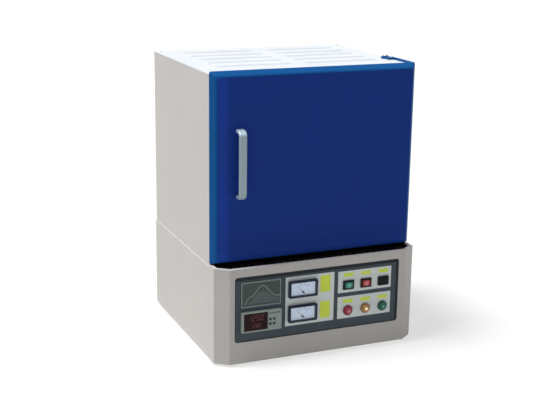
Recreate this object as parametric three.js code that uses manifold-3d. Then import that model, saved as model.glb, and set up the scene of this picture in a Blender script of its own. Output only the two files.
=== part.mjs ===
// Bench-top box furnace: a base cabinet with the controls, and above it an insulated chamber
// whose L-shaped door carries its own block of insulation and swings on a post at the right.
// Millimetres. +X is the furnace's right, +Y its rear and +Z up.
import * as THREE from 'three';
import { mergeVertices } from 'three/addons/utils/BufferGeometryUtils.js';
import Module from 'manifold-3d';

const wasm = await Module();
wasm.setup();

// Driving sizes
const sheet = 2; // steel sheet of the cabinet
const clearance = 0.3; // between pieces that fit in one another
const overrun = 5; // how far a cut runs past the faces it goes through
const weld = 0.0001; // points closer than this are one point

const cabinet = {
  width: 500,
  depth: 402,
  baseHeight: 222,
  upperHeight: 426,
  upperInset: 1.5,
  flange: 14,
  rearInset: 2,
};

const foot = { radius: 18, height: 6, taper: 2, inset: 50 };

const deck = { lip: 6, bevel: 2.5, ventWidth: 12, ventMargin: 19 };

const fascia = {
  projection: 54.2,
  chamferDepth: 22.8,
  chamferWidth: 30,
  topFlange: 9,
  rise: 1,
  seam: 0.8,
  openingSide: 45,
  openingRadius: 7,
  openingShift: -3,
  openingBottom: 50,
  openingTop: 18.5,
};

const grille = { drop: 6, margin: 36, slotWidth: 9, slotPitch: 17, slotInset: 10 };

const plate = { thickness: 1.5, margin: 6, radius: 1.5 };

// Places on the control panel, from the middle of the fascia's opening
const curvePlate = { width: 97.5, height: 61, x: -142.25, z: 33.75 };
const meterPlate = { leftMargin: 6, rightMargin: 45, edge: 9.5 };
const buttonPlate = { margin: 9.5, height: 52, shift: -2.5, z: 35.75 };
const lampPlate = { margin: 11.5, height: 53, shift: -2.5, z: -26.5 };

const controller = {
  width: 96,
  height: 48,
  x: -142.5,
  z: -29.25,
  bezel: 8,
  radius: 2,
  bodySide: 2.5,
  bodyEdge: 2,
  bodyDepth: 80,
  windowWidth: 57.6,
  windowEdge: 3.5,
  windowDepth: 1.5,
  windowMargin: 5,
};

const key = {
  radius: 3.4,
  proud: 1,
  length: 2.8,
  travel: 0.8,
  stop: 0.4,
  columnPitch: 9.5,
  rowPitch: 11.1,
  x: 25.2,
  z: -3.7,
};

const meter = {
  width: 70,
  height: 39,
  bezel: 9,
  radius: 2,
  x: -42,
  upperZ: 34.5,
  lowerZ: -24,
  bodySide: 7,
  bodyEdge: 3.5,
  bodyDepth: 36,
  faceSide: 4.5,
  faceEdge: 4,
  faceDepth: 6,
};

const pointer = {
  hubRadius: 2.5,
  hubLength: 1.6,
  length: 18,
  tail: 6,
  width: 0.9,
  tailWidth: 2.4,
  thickness: 0.6,
  pivotDrop: 8,
  restAngle: 45,
};

const button = {
  width: 28,
  height: 22,
  bezel: 3,
  radius: 2,
  bodyEdge: 2,
  bodyDepth: 30,
  capEdge: 4.3,
  capRadius: 1.5,
  capProud: 2.5,
  pocketDepth: 8,
  travel: 3,
  stop: 0.4,
  pitch: 45,
  x: 74,
  z: 28,
};

const rocker = {
  pocketEdge: 3.5,
  pocketDepth: 7.5,
  pivotDepth: 1.5,
  face: 3,
  dip: 1.2,
  frontGap: 1,
  rearGap: 3,
  back: 3,
  tilt: 8,
};

const lamp = {
  radius: 12,
  bezel: 4,
  bezelBevel: 1,
  lensEdge: 2.5,
  lensStep: 1,
  lensHeight: 4,
  bodyEdge: 1.2,
  bodyDepth: 28,
  pitch: 45,
  x: 74,
  z: -34,
};

const chamber = { width: 150, height: 150, lining: 25, rise: 13 };

const mouth = { setback: 164, openingWidth: 300, openingHeight: 300 };

const casing = { sideGap: 20.5, topGap: 48, rearGap: 10, rearWall: 51 };

const hearth = { sideGap: 23, thickness: 12, frontGap: 4, rearGap: 6 };

const element = {
  hotRadius: 3,
  terminalRadius: 6,
  frontGap: 40,
  rearGap: 40,
  wallGap: 11,
  floorGap: 20,
  shankBelowRoof: 5,
  terminalRise: 30,
  hole: 0.8,
  steps: 24,
  bendSteps: 8,
};

const holder = { width: 24, height: 10, margin: 12 };

const thermocouple = {
  sheathRadius: 4,
  tipBelowRoof: 25,
  rearGap: 75,
  headRadius: 15,
  headHeight: 22,
  flangeEdge: 4,
  flangeHeight: 4,
  bevel: 2,
};

const door = {
  sideInset: 1,
  bottomGap: 3,
  rise: 5.5,
  backGap: 1,
  edge: 4,
  bevel: 12.3,
  wingThickness: 3.5,
  wingGap: 1.5,
  wingEnd: 10,
  trayGap: 2.5,
  trayBottom: 8,
  trayTop: 4,
  trayRearGap: 23,
  trayHingeGap: 9.5,
  plugGap: 4.5,
  plugVerticalGap: 2,
  plugDepth: 16,
};

const seal = { thickness: 3.7, gap: 12, width: 28 };

const post = {
  sideInset: 12.5,
  mouthGap: 50,
  rearGap: 17,
  radius: 6.5,
  collarEdge: 3,
  collarHeight: 2.7,
  spigotShoulder: 3,
  headHeight: 2.6,
  headBevel: 0.8,
};

const arm = { thickness: 4, lobeEdge: 4.5, length: 26, width: 15, topGap: 1, runningGap: 0.35 };

const handle = {
  sideInset: 64,
  rise: 12.25,
  length: 155,
  standoff: 21.5,
  width: 17.5,
  thickness: 8.5,
  round: 3,
  bend: 11,
  steps: 24,
};

const louvre = { height: 5, depth: 8, wall: 1.5, root: 3 };

const topLouvres = { sideMargin: 48.5, gap: 30, first: 90, last: 72, pitch: 60 };

const rearLouvres = { sideMargin: 98.5, gap: 60, first: 70, last: 106, pitch: 50 };

const baseLouvres = { length: 130, first: 100, last: 38, pitch: 28 };

const fan = {
  size: 120,
  depth: 38,
  duct: 56,
  sideInset: 110,
  drop: 7,
  hubRadius: 22,
  hubDepth: 8,
  rotorHubEdge: 1,
  rotorHubDepth: 24,
  rotorGap: 0.4,
  bladeRoot: 10.5,
  bladeCount: 7,
  bladeGap: 3,
  bladeWidth: 22,
  bladeThickness: 2,
  bladePitch: 35,
  strut: 5,
  corner: 6,
  guardRings: 4,
  guardGap: 6,
  guardBar: 5,
};

const gland = {
  sideInset: 65,
  z: 50,
  bore: 7.5,
  threadRadius: 12,
  flangeRadius: 17,
  flangeLength: 7,
  capRadius: 14,
  noseRadius: 11,
  capLength: 15,
  noseLength: 4,
  nutRadius: 17,
  nutLength: 6,
};

const transformer = {
  x: -30,
  rearGap: 167,
  width: 120,
  depth: 60,
  height: 100,
  coilWidth: 70,
  coilRadius: 17.5,
  coilDepth: 104,
  coilHeight: 62,
};

const powerController = {
  sideInset: 60,
  rearGap: 172,
  width: 76,
  depth: 120,
  height: 110,
  fins: 8,
  finDepth: 30,
  finThickness: 3,
};

// Sides of the turned pieces
const sides = { fine: 24, medium: 16, coarse: 12, rod: 6 };

// Sizes worked out from the driving ones
const baseHalf = cabinet.width / 2;
const upperHalf = baseHalf - cabinet.upperInset;
const frontY = -fascia.projection;
const panelY = frontY + sheet;
const openingWidth = cabinet.width - 2 * fascia.openingSide;
const openingHeight = cabinet.baseHeight - fascia.openingBottom - fascia.openingTop;
const openingCentreZ = fascia.openingBottom + openingHeight / 2;
const fasciaTop = cabinet.baseHeight + fascia.rise;
const rearY = cabinet.depth + sheet;
const topUnderside = cabinet.upperHeight - sheet;
const doorHalf = baseHalf - door.sideInset;
const wingInner = doorHalf - door.wingThickness;
const postX = upperHalf - post.sideInset;
const postY = mouth.setback - post.mouthGap;
const spigotRadius = post.radius - post.spigotShoulder;
const trayDepth = mouth.setback - door.trayRearGap;
const rightPanelFront = postY + post.rearGap;
const doorBack = -door.backGap;
const doorFront = doorBack - door.edge - door.bevel;
const doorBottom = door.bottomGap;
const doorTop = cabinet.upperHeight + door.rise;

// Shapes
const point = (u, v) => new THREE.Vector2(u, v);

function outline(corners, holes = []) {
  const shape = new THREE.Shape(corners.map(([u, v]) => point(u, v)));
  holes.forEach((hole) => shape.holes.push(hole));
  return shape;
}

function rectangle(width, height, u = 0, v = 0) {
  const right = u + width / 2;
  const top = v + height / 2;
  return [[right - width, top - height], [right, top - height], [right, top], [right - width, top]];
}

function roundedRectangle(width, height, radius, u = 0, v = 0) {
  const corners = rectangle(width - 2 * radius, height - 2 * radius, u, v);
  const quarter = Math.PI / 2;
  const path = new THREE.Shape();
  corners.forEach(([x, y], index) => {
    const start = Math.PI + index * quarter;
    path.absarc(x, y, radius, start, start + quarter, false);
  });
  return path;
}

function circle(radius, count, u = 0, v = 0) {
  return Array.from({ length: count }, (_, index) => {
    const angle = (2 * Math.PI * index) / count;
    return [u + radius * Math.cos(angle), v + radius * Math.sin(angle)];
  });
}

// A path moved sideways, to the left of its direction of travel, with mitred corners
function offsetPath(path, distance) {
  const normals = path.slice(1).map(([u, v], index) => {
    const along = point(u - path[index][0], v - path[index][1]).normalize();
    return point(-along.y, along.x);
  });
  return path.map(([u, v], index) => {
    const before = normals[Math.max(index - 1, 0)];
    const after = normals[Math.min(index, normals.length - 1)];
    const reach = distance / (1 + before.dot(after));
    return [u + (before.x + after.x) * reach, v + (before.y + after.y) * reach];
  });
}

// The section of a folded sheet, whose thickness lies to the left of the path
const foldedSheet = (path, thickness) =>
  outline([...path, ...offsetPath(path, thickness).reverse()]);

// Solids
const axisX = new THREE.Vector3(1, 0, 0);
const axisY = new THREE.Vector3(0, 1, 0);
const axisZ = new THREE.Vector3(0, 0, 1);

function extrude(shape, depth) {
  return new THREE.ExtrudeGeometry(shape, { depth, bevelEnabled: false, curveSegments: 2 });
}

// A section drawn in X and Y
const alongZ = (shape, low, high) => extrude(shape, high - low).translate(0, 0, low);

// A section drawn in X and Z
function alongY(shape, low, high) {
  const turn = new THREE.Matrix4().makeBasis(axisX, axisZ, axisY.clone().negate());
  return extrude(shape, high - low).applyMatrix4(turn).translate(0, high, 0);
}

// A section drawn in Y and Z
function alongX(shape, low, high) {
  const turn = new THREE.Matrix4().makeBasis(axisY, axisZ, axisX);
  return extrude(shape, high - low).applyMatrix4(turn).translate(low, 0, 0);
}

function block(low, high) {
  const size = high.map((value, axis) => value - low[axis]);
  const geometry = new THREE.BoxGeometry(...size);
  return geometry.translate(...low.map((value, axis) => value + size[axis] / 2));
}

// A solid of revolution about Z from [radius, height] points, from the axis round to the axis
function turned(profile, count) {
  const lathe = new THREE.LatheGeometry(profile.map(([radius, height]) => point(radius, height)), count);
  return lathe.rotateX(Math.PI / 2);
}

// The same about Y, with heights counted towards the front
const turnedToFront = (profile, count) => turned(profile, count).rotateX(Math.PI / 2);

// The same about Y, with heights counted towards the rear
const turnedToRear = (profile, count) => turned(profile, count).rotateX(-Math.PI / 2);

function toSolid(geometry) {
  const plain = geometry.clone();
  plain.deleteAttribute('normal');
  plain.deleteAttribute('uv');
  const merged = mergeVertices(plain, weld);
  const corners = merged.index.array;
  const triangles = [];
  for (let start = 0; start < corners.length; start += 3) {
    const [a, b, c] = corners.slice(start, start + 3);
    if (a !== b && b !== c && c !== a) triangles.push(a, b, c);
  }
  return new wasm.Manifold(new wasm.Mesh({
    numProp: 3,
    vertProperties: merged.attributes.position.array,
    triVerts: Uint32Array.from(triangles),
  }));
}

function toGeometry(solid) {
  const mesh = solid.getMesh();
  const geometry = new THREE.BufferGeometry();
  geometry.setAttribute('position', new THREE.BufferAttribute(mesh.vertProperties, 3));
  geometry.setIndex(new THREE.BufferAttribute(mesh.triVerts, 1));
  const faceted = geometry.toNonIndexed();
  faceted.computeVertexNormals();
  return faceted;
}

const join = (...parts) => toGeometry(parts.map(toSolid).reduce((whole, part) => whole.add(part)));

function cut(base, ...tools) {
  return toGeometry(tools.map(toSolid).reduce((rest, tool) => rest.subtract(tool), toSolid(base)));
}

// Materials
function finish(color, roughness, metalness = 0) {
  return new THREE.MeshStandardMaterial({ color, roughness, metalness });
}

const greyPaint = finish(0xc4c0bc, 0.5);
const topPaint = finish(0xeeedea, 0.5);
const bluePaint = finish(0x1d2d69, 0.35);
const blackPaint = finish(0x17161a, 0.7);
const panelPaint = finish(0x33363a, 0.5);
const platePlastic = finish(0xb9bcb8, 0.5);
const curveFoil = finish(0x3f4b4a, 0.4);
const zincSteel = finish(0xa8abac, 0.4, 0.9);
const polishedSteel = finish(0xb4bcc2, 0.22, 1);
const aluminium = finish(0xc2c4c6, 0.35, 1);
const rubber = finish(0x1c1c1c, 0.9);
const blackPlastic = finish(0x1a1b1e, 0.5);
const navyPlastic = finish(0x1c2b4a, 0.4);
const silverPlastic = finish(0xa9b3ac, 0.4);
const greenPlastic = finish(0x12805a, 0.35);
const redPlastic = finish(0xb02a2e, 0.35);
const amberPlastic = finish(0xd9a23c, 0.3);
const fibreBoard = finish(0xece7dc, 0.95);
const alumina = finish(0xf1ede2, 0.7);
const silicide = finish(0x4a4745, 0.4, 0.6);
const copperCoil = finish(0x8a4b2c, 0.5, 0.4);

// The assembly
const furnace = new THREE.Group();
const base = new THREE.Group();
const controls = new THREE.Group();
const upper = new THREE.Group();
const doorLeaf = new THREE.Group();

function add(parent, name, geometry, material, x = 0, y = 0, z = 0) {
  const mesh = new THREE.Mesh(geometry, material);
  mesh.name = name;
  mesh.position.set(x, y, z);
  parent.add(mesh);
  return mesh;
}

// Feet: four rubber discs under the base's floor
const footProfile = [
  [0, -foot.height],
  [foot.radius - foot.taper, -foot.height],
  [foot.radius, foot.taper - foot.height],
  [foot.radius, 0],
  [0, 0],
];
[['front', foot.inset], ['rear', cabinet.depth - foot.inset]].forEach(([end, y]) => {
  [['left', -1], ['right', 1]].forEach(([side, sign]) => {
    const disc = turned(footProfile, sides.medium);
    add(base, `foot_${end}_${side}`, disc, rubber, sign * (baseHalf - foot.inset), y, 0);
  });
});

// Base: floor and sides folded from one sheet
const baseSideTop = cabinet.baseHeight - deck.lip;
const baseSection = foldedSheet([
  [-baseHalf, baseSideTop],
  [-baseHalf, 0],
  [baseHalf, 0],
  [baseHalf, baseSideTop],
], sheet);
add(base, 'base_shell', alongY(baseSection, 0, cabinet.depth), greyPaint);

// Deck: a shallow tray, lip downwards, that the upper body stands on
function deckTray() {
  const top = cabinet.baseHeight;
  const section = outline([
    [-baseHalf, top - deck.lip],
    [sheet - baseHalf, top - deck.lip],
    [sheet - baseHalf, top - sheet],
    [baseHalf - sheet, top - sheet],
    [baseHalf - sheet, top - deck.lip],
    [baseHalf, top - deck.lip],
    [baseHalf, top - deck.bevel],
    [baseHalf - deck.bevel, top],
    [deck.bevel - baseHalf, top],
    [-baseHalf, top - deck.bevel],
  ]);
  const ventX = upperHalf - casing.sideGap / 2;
  const ventY = (mouth.setback + cabinet.depth) / 2;
  const ventLength = cabinet.depth - mouth.setback - 2 * deck.ventMargin;
  const vents = [-ventX, ventX].map((x) => alongZ(
    outline(rectangle(deck.ventWidth, ventLength, x, ventY)),
    top - deck.lip - overrun,
    top + overrun,
  ));
  return cut(alongY(section, 0, cabinet.depth), ...vents);
}
add(base, 'base_deck', deckTray(), greyPaint);

// Fascia: folded front with cut-off vertical corners, a flange above and a floor below
const fasciaPath = [
  [-baseHalf, -fascia.seam],
  [-baseHalf, frontY + fascia.chamferDepth],
  [fascia.chamferWidth - baseHalf, frontY],
  [baseHalf - fascia.chamferWidth, frontY],
  [baseHalf, frontY + fascia.chamferDepth],
  [baseHalf, -fascia.seam],
];

function frontFascia() {
  const walls = alongZ(foldedSheet(fasciaPath, sheet), 0, fasciaTop);
  const flange = alongZ(foldedSheet(fasciaPath, fascia.topFlange), fasciaTop - sheet, fasciaTop);
  const floor = alongZ(outline(fasciaPath), 0, sheet);
  const opening = alongY(
    roundedRectangle(
      openingWidth,
      openingHeight,
      fascia.openingRadius,
      fascia.openingShift,
      openingCentreZ,
    ),
    frontY - overrun,
    frontY + fascia.topFlange,
  );
  return cut(join(walls, flange, floor), opening);
}
add(base, 'front_fascia', frontFascia(), greyPaint);

// Air intake: a slotted black strip let into the fascia's open top
function intakeGrille() {
  const edge = offsetPath(fasciaPath, sheet + clearance);
  const top = fasciaTop - grille.drop;
  const strip = alongZ(outline(edge), top - sheet, top);
  const reach = baseHalf - grille.margin;
  const count = Math.floor((2 * reach) / grille.slotPitch);
  const slotLength = fascia.projection - sheet - 2 * grille.slotInset;
  const slots = Array.from({ length: count }, (_, index) => alongZ(
    outline(rectangle(
      grille.slotWidth,
      slotLength,
      (index - (count - 1) / 2) * grille.slotPitch,
      panelY / 2,
    )),
    top - sheet - overrun,
    top + overrun,
  ));
  return cut(strip, ...slots);
}
add(base, 'intake_grille', intakeGrille(), blackPaint);

// Louvres: a hood over each slot, drawn along X on a face that looks along +Z and open towards +Y
function louvreHood(length) {
  const { height, depth, wall, root } = louvre;
  const section = outline([
    [-root, -sheet],
    [0, -sheet],
    [0, 0],
    [depth, height - wall],
    [depth, height],
    [-root, 0],
  ]);
  const cheek = outline([[0, -sheet], [depth, -sheet], [depth, height], [-root, 0], [-root, -sheet]]);
  const hood = alongX(section, -length / 2, length / 2);
  const cheeks = [-length / 2, length / 2 - wall].map((x) => alongX(cheek, x, x + wall));
  return join(hood, ...cheeks);
}

function louvreSlot(length) {
  const slotLength = length - 2 * louvre.wall;
  return block(
    [-slotLength / 2, 0, -sheet - overrun],
    [slotLength / 2, louvre.depth, overrun],
  );
}

// Places for louvres in rows of equal pitch that fit between a first and a last margin
function rows(first, length, last, pitch) {
  const count = Math.floor((length - first - last) / pitch + weld) + 1;
  return Array.from({ length: count }, (_, index) => first + index * pitch);
}

// A panel with louvres at the given places on its face
function louvred(panel, length, places, turn) {
  const put = (geometry, place) => geometry.applyMatrix4(turn).translate(...place);
  const slots = places.map((place) => put(louvreSlot(length), place));
  const hoods = places.map((place) => put(louvreHood(length), place));
  return join(cut(panel, ...slots), ...hoods);
}

const facingUp = new THREE.Matrix4();
const facingRear = new THREE.Matrix4().makeBasis(axisX, axisZ.clone().negate(), axisY);

// Base rear panel: louvres, a finger guard stamped over the fan and a hole for the gland
const fanX = baseHalf - fan.sideInset;
const fanZ = cabinet.baseHeight / 2 - fan.drop;
const glandX = gland.sideInset - baseHalf;

function fanGuard() {
  const ringPitch = fan.duct / fan.guardRings;
  const rings = Array.from({ length: fan.guardRings }, (_, index) => {
    const outer = (index + 1) * ringPitch;
    const hole = outline(circle(outer - ringPitch + fan.guardGap, sides.medium));
    return alongY(outline(circle(outer, sides.medium), [hole]), cabinet.depth - overrun, rearY + overrun);
  });
  const bars = [Math.PI / 4, -Math.PI / 4].map((angle) => alongY(
    outline(rectangle(2 * fan.duct + overrun, fan.guardBar)),
    cabinet.depth - 2 * overrun,
    rearY + 2 * overrun,
  ).rotateY(angle));
  return cut(join(...rings), ...bars).translate(fanX, 0, fanZ);
}

function baseRearPanel() {
  const inset = cabinet.rearInset;
  const glandHole = alongY(
    outline(circle(gland.threadRadius + clearance, sides.medium, glandX, gland.z)),
    cabinet.depth - overrun,
    rearY + overrun,
  );
  const panel = block(
    [inset - baseHalf, cabinet.depth, inset],
    [baseHalf - inset, rearY, cabinet.baseHeight - inset],
  );
  const { length, first, last, pitch } = baseLouvres;
  const heights = rows(first, cabinet.baseHeight, last, pitch);
  const places = heights.map((z) => [-baseHalf / 2, rearY, z]);
  return louvred(cut(panel, fanGuard(), glandHole), length, places, facingRear);
}
add(base, 'base_rear_panel', baseRearPanel(), greyPaint);

// Cooling fan inside the rear panel
function fanFrame() {
  const half = fan.size / 2;
  const front = -fan.depth;
  const body = alongY(roundedRectangle(fan.size, fan.size, fan.corner), front, 0);
  const duct = alongY(outline(circle(fan.duct, sides.fine)), front - overrun, overrun);
  const hub = alongY(outline(circle(fan.hubRadius, sides.fine)), -fan.hubDepth, 0);
  const struts = [0, Math.PI / 2].map((angle) =>
    block([-half, -fan.strut, -fan.strut / 2], [half, 0, fan.strut / 2])
      .rotateY(angle + Math.PI / 4));
  const ring = toSolid(cut(body, duct));
  const inside = [hub, ...struts].map(toSolid).reduce((whole, part) => whole.add(part));
  return toGeometry(ring.add(inside.intersect(toSolid(body))));
}
add(base, 'fan_frame', fanFrame(), blackPlastic, fanX, cabinet.depth, fanZ);

function fanRotor() {
  const hubRadius = fan.hubRadius - fan.rotorHubEdge;
  const hub = alongY(outline(circle(hubRadius, sides.fine)), -fan.rotorHubDepth, 0);
  const blades = Array.from({ length: fan.bladeCount }, (_, index) =>
    block(
      [fan.bladeRoot, -fan.bladeWidth / 2, -fan.bladeThickness / 2],
      [fan.duct - fan.bladeGap, fan.bladeWidth / 2, fan.bladeThickness / 2],
    )
      .rotateX(THREE.MathUtils.degToRad(fan.bladePitch))
      .translate(0, -fan.rotorHubDepth / 2, 0)
      .rotateY((2 * Math.PI * index) / fan.bladeCount));
  return join(hub, ...blades);
}
const rotorY = cabinet.depth - fan.hubDepth - fan.rotorGap;
add(base, 'fan_rotor', fanRotor(), blackPlastic, fanX, rotorY, fanZ);

// Cable gland with its bore, nut inside the panel and dome nut outside
function cableGland() {
  const outside = sheet + gland.flangeLength;
  const profile = [
    [gland.bore, -gland.nutLength],
    [gland.nutRadius, -gland.nutLength],
    [gland.nutRadius, 0],
    [gland.threadRadius, 0],
    [gland.threadRadius, sheet],
    [gland.flangeRadius, sheet],
    [gland.flangeRadius, outside],
    [gland.capRadius, outside],
    [gland.capRadius, outside + gland.capLength],
    [gland.noseRadius, outside + gland.capLength + gland.noseLength],
    [gland.bore, outside + gland.capLength + gland.noseLength],
    [gland.bore, -gland.nutLength],
  ];
  return turnedToRear(profile, sides.medium);
}
add(base, 'cable_gland', cableGland(), blackPlastic, glandX, cabinet.depth, gland.z);

// Transformer on the base's floor: laminated core with its winding round the middle leg
function transformerBody() {
  const { width, depth, height, coilWidth, coilDepth, coilHeight, coilRadius } = transformer;
  const core = block([-width / 2, -depth / 2, 0], [width / 2, depth / 2, height]);
  const coil = alongZ(
    roundedRectangle(coilWidth, coilDepth, coilRadius),
    (height - coilHeight) / 2,
    (height + coilHeight) / 2,
  );
  return join(core, coil);
}
const transformerY = cabinet.depth - transformer.rearGap;
add(base, 'transformer', transformerBody(), copperCoil, transformer.x, transformerY, sheet);

// Power controller: a case on a finned heat sink
function powerControllerBody() {
  const { width, depth, height, fins, finDepth, finThickness } = powerController;
  const pitch = (depth - finThickness) / (fins - 1);
  const body = block([finDepth - width / 2, -depth / 2, 0], [width / 2, depth / 2, height]);
  const ribs = Array.from({ length: fins }, (_, index) => block(
    [-width / 2, index * pitch - depth / 2, 0],
    [finDepth + sheet - width / 2, index * pitch - depth / 2 + finThickness, height],
  ));
  return join(body, ...ribs);
}
add(
  base,
  'power_controller',
  powerControllerBody(),
  aluminium,
  powerController.sideInset - baseHalf,
  cabinet.depth - powerController.rearGap,
  sheet,
);

// Width and height inside a rim of the given widths
const inner = (size, side, edge = side) => [size.width - 2 * side, size.height - 2 * edge];

function plateHole([width, height], x, z) {
  return outline(rectangle(width + 2 * clearance, height + 2 * clearance, x, z));
}

const roundHole = (radius, x, z) => outline(circle(radius + clearance, sides.medium, x, z));

const buttonXs = Array.from({ length: 3 }, (_, index) => button.x + index * button.pitch);
const lampXs = Array.from({ length: 3 }, (_, index) => lamp.x + index * lamp.pitch);
const meterZs = [meter.upperZ, meter.lowerZ];

const controllerBody = inner(controller, controller.bodySide, controller.bodyEdge);
const meterBody = inner(meter, meter.bodySide, meter.bodyEdge);
const buttonBody = inner(button, button.bodyEdge);
const lampBodyRadius = lamp.radius - lamp.bodyEdge;
const controllerHole = plateHole(controllerBody, controller.x, controller.z);
const meterHoles = meterZs.map((z) => plateHole(meterBody, meter.x, z));
const buttonHoles = buttonXs.map((x) => plateHole(buttonBody, x, button.z));
const lampHoles = lampXs.map((x) => roundHole(lampBodyRadius, x, lamp.z));

const throughPanel = (hole) => alongY(hole, -overrun, overrun);

// Control panel: a dark plate behind the fascia's opening, cut out for each device
function controlPanel() {
  const width = openingWidth + 2 * plate.margin;
  const height = openingHeight + 2 * plate.margin;
  const holes = [controllerHole, ...meterHoles, ...buttonHoles, ...lampHoles];
  return cut(alongY(outline(rectangle(width, height)), 0, sheet), ...holes.map(throughPanel));
}
add(controls, 'control_panel', controlPanel(), panelPaint);

function facePlate({ width, height, x, z }, holes = []) {
  const shape = roundedRectangle(width, height, plate.radius, x, z);
  return cut(alongY(shape, -plate.thickness, 0), ...holes.map(throughPanel));
}

const meterPlateFace = {
  width: meter.width + meterPlate.leftMargin + meterPlate.rightMargin,
  height: meter.upperZ - meter.lowerZ + meter.height + 2 * meterPlate.edge,
  x: meter.x + (meterPlate.rightMargin - meterPlate.leftMargin) / 2,
  z: (meter.upperZ + meter.lowerZ) / 2,
};
const buttonPlateFace = {
  width: 2 * (button.pitch + buttonPlate.margin) + button.width,
  height: buttonPlate.height,
  x: button.x + button.pitch + buttonPlate.shift,
  z: buttonPlate.z,
};
const lampPlateFace = {
  width: 2 * (lamp.pitch + lampPlate.margin + lamp.radius),
  height: lampPlate.height,
  x: lamp.x + lamp.pitch + lampPlate.shift,
  z: lampPlate.z,
};
add(controls, 'curve_plate', facePlate(curvePlate), curveFoil);
add(controls, 'meter_plate', facePlate(meterPlateFace, meterHoles), platePlastic);
add(controls, 'button_plate', facePlate(buttonPlateFace, buttonHoles), platePlastic);
add(controls, 'lamp_plate', facePlate(lampPlateFace, lampHoles), platePlastic);

// Temperature controller: case with a window and four keys
const windowHeight = controller.height - 2 * controller.windowEdge;
const windowX = controller.windowMargin + (controller.windowWidth - controller.width) / 2;
const keyPlaces = [1, -1].flatMap((row) => [-1, 1].map((column) => [
  key.x + (column * key.columnPitch) / 2,
  key.z + (row * key.rowPitch) / 2,
]));
const keyDepth = key.length - key.proud + key.travel + key.stop;

function controllerCase() {
  const { width, height, bezel, radius, bodyDepth, windowWidth } = controller;
  const front = alongY(roundedRectangle(width, height, radius), -bezel, 0);
  const body = alongY(outline(rectangle(...controllerBody)), -bezel / 2, bodyDepth);
  const windowPocket = alongY(
    outline(rectangle(windowWidth, windowHeight, windowX)),
    -bezel - overrun,
    controller.windowDepth - bezel,
  );
  const keyPockets = keyPlaces.map(([x, z]) => alongY(
    outline(circle(key.radius + clearance, sides.coarse, x, z)),
    -bezel - overrun,
    keyDepth - bezel,
  ));
  return cut(join(front, body), windowPocket, ...keyPockets);
}
add(controls, 'controller_case', controllerCase(), silverPlastic, controller.x, 0, controller.z);

keyPlaces.forEach(([x, z], index) => {
  const cap = alongY(outline(circle(key.radius, sides.coarse)), -key.proud, key.length - key.proud);
  const name = `controller_key_${index + 1}`;
  add(controls, name, cap, rubber, controller.x + x, -controller.bezel, controller.z + z);
});

// Panel meters: case with a sunk dial and a balanced pointer on its pivot
function meterCase() {
  const { width, height, bezel, radius, bodyDepth } = meter;
  const front = alongY(roundedRectangle(width, height, radius), -bezel, 0);
  const body = alongY(outline(rectangle(...meterBody)), -clearance, bodyDepth);
  const pocket = alongY(
    outline(rectangle(...inner(meter, meter.faceSide, meter.faceEdge))),
    -bezel - overrun,
    meter.faceDepth - bezel,
  );
  return cut(join(front, body), pocket);
}

function meterPointer() {
  const { hubRadius, hubLength, length, tail, width, tailWidth, thickness } = pointer;
  const hub = alongY(outline(circle(hubRadius, sides.coarse)), -hubLength, 0);
  const needle = alongY(
    outline([
      [-tailWidth / 2, -tail],
      [tailWidth / 2, -tail],
      [tailWidth / 2, -tail / 2],
      [width / 2, 0],
      [width / 4, length],
      [-width / 4, length],
      [-width / 2, 0],
      [-tailWidth / 2, -tail / 2],
    ]),
    -hubLength,
    thickness - hubLength,
  );
  return join(hub, needle);
}

[['ammeter', meter.upperZ], ['voltmeter', meter.lowerZ]].forEach(([name, z]) => {
  const faceY = -plate.thickness - meter.bezel;
  add(controls, `${name}_case`, meterCase(), navyPlastic, meter.x, -plate.thickness, z);
  const needle = add(
    controls,
    `${name}_pointer`,
    meterPointer(),
    blackPlastic,
    meter.x,
    faceY + meter.faceDepth - clearance,
    z - pointer.pivotDrop,
  );
  needle.rotation.y = -THREE.MathUtils.degToRad(pointer.restAngle);
});

// Push buttons and the rocker switch share one housing outline
function switchHousing(pocketWidth, pocketHeight, pocketDepth) {
  const { width, height, bezel, radius, bodyDepth } = button;
  const front = alongY(roundedRectangle(width, height, radius), -bezel, 0);
  const body = alongY(outline(rectangle(...buttonBody)), -bezel / 2, bodyDepth);
  const pocket = alongY(
    outline(rectangle(pocketWidth, pocketHeight)),
    -bezel - overrun,
    pocketDepth - bezel,
  );
  return cut(join(front, body), pocket);
}

const [capWidth, capHeight] = inner(button, button.capEdge);
const [rockerPocketWidth, rockerPocketHeight] = inner(button, rocker.pocketEdge);

[['start', greenPlastic], ['stop', redPlastic]].forEach(([name, material], index) => {
  const pocketWidth = capWidth + 2 * clearance;
  const pocketHeight = capHeight + 2 * clearance;
  const housing = switchHousing(pocketWidth, pocketHeight, button.pocketDepth);
  const capLength = button.capProud + button.pocketDepth - button.travel - button.stop;
  const cap = alongY(
    roundedRectangle(capWidth, capHeight, button.capRadius),
    -button.capProud,
    capLength - button.capProud,
  );
  const x = buttonXs[index];
  const y = -plate.thickness;
  add(controls, `${name}_button_housing`, housing, blackPlastic, x, y, button.z);
  add(controls, `${name}_button`, cap, material, x, y - button.bezel, button.z);
});

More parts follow.
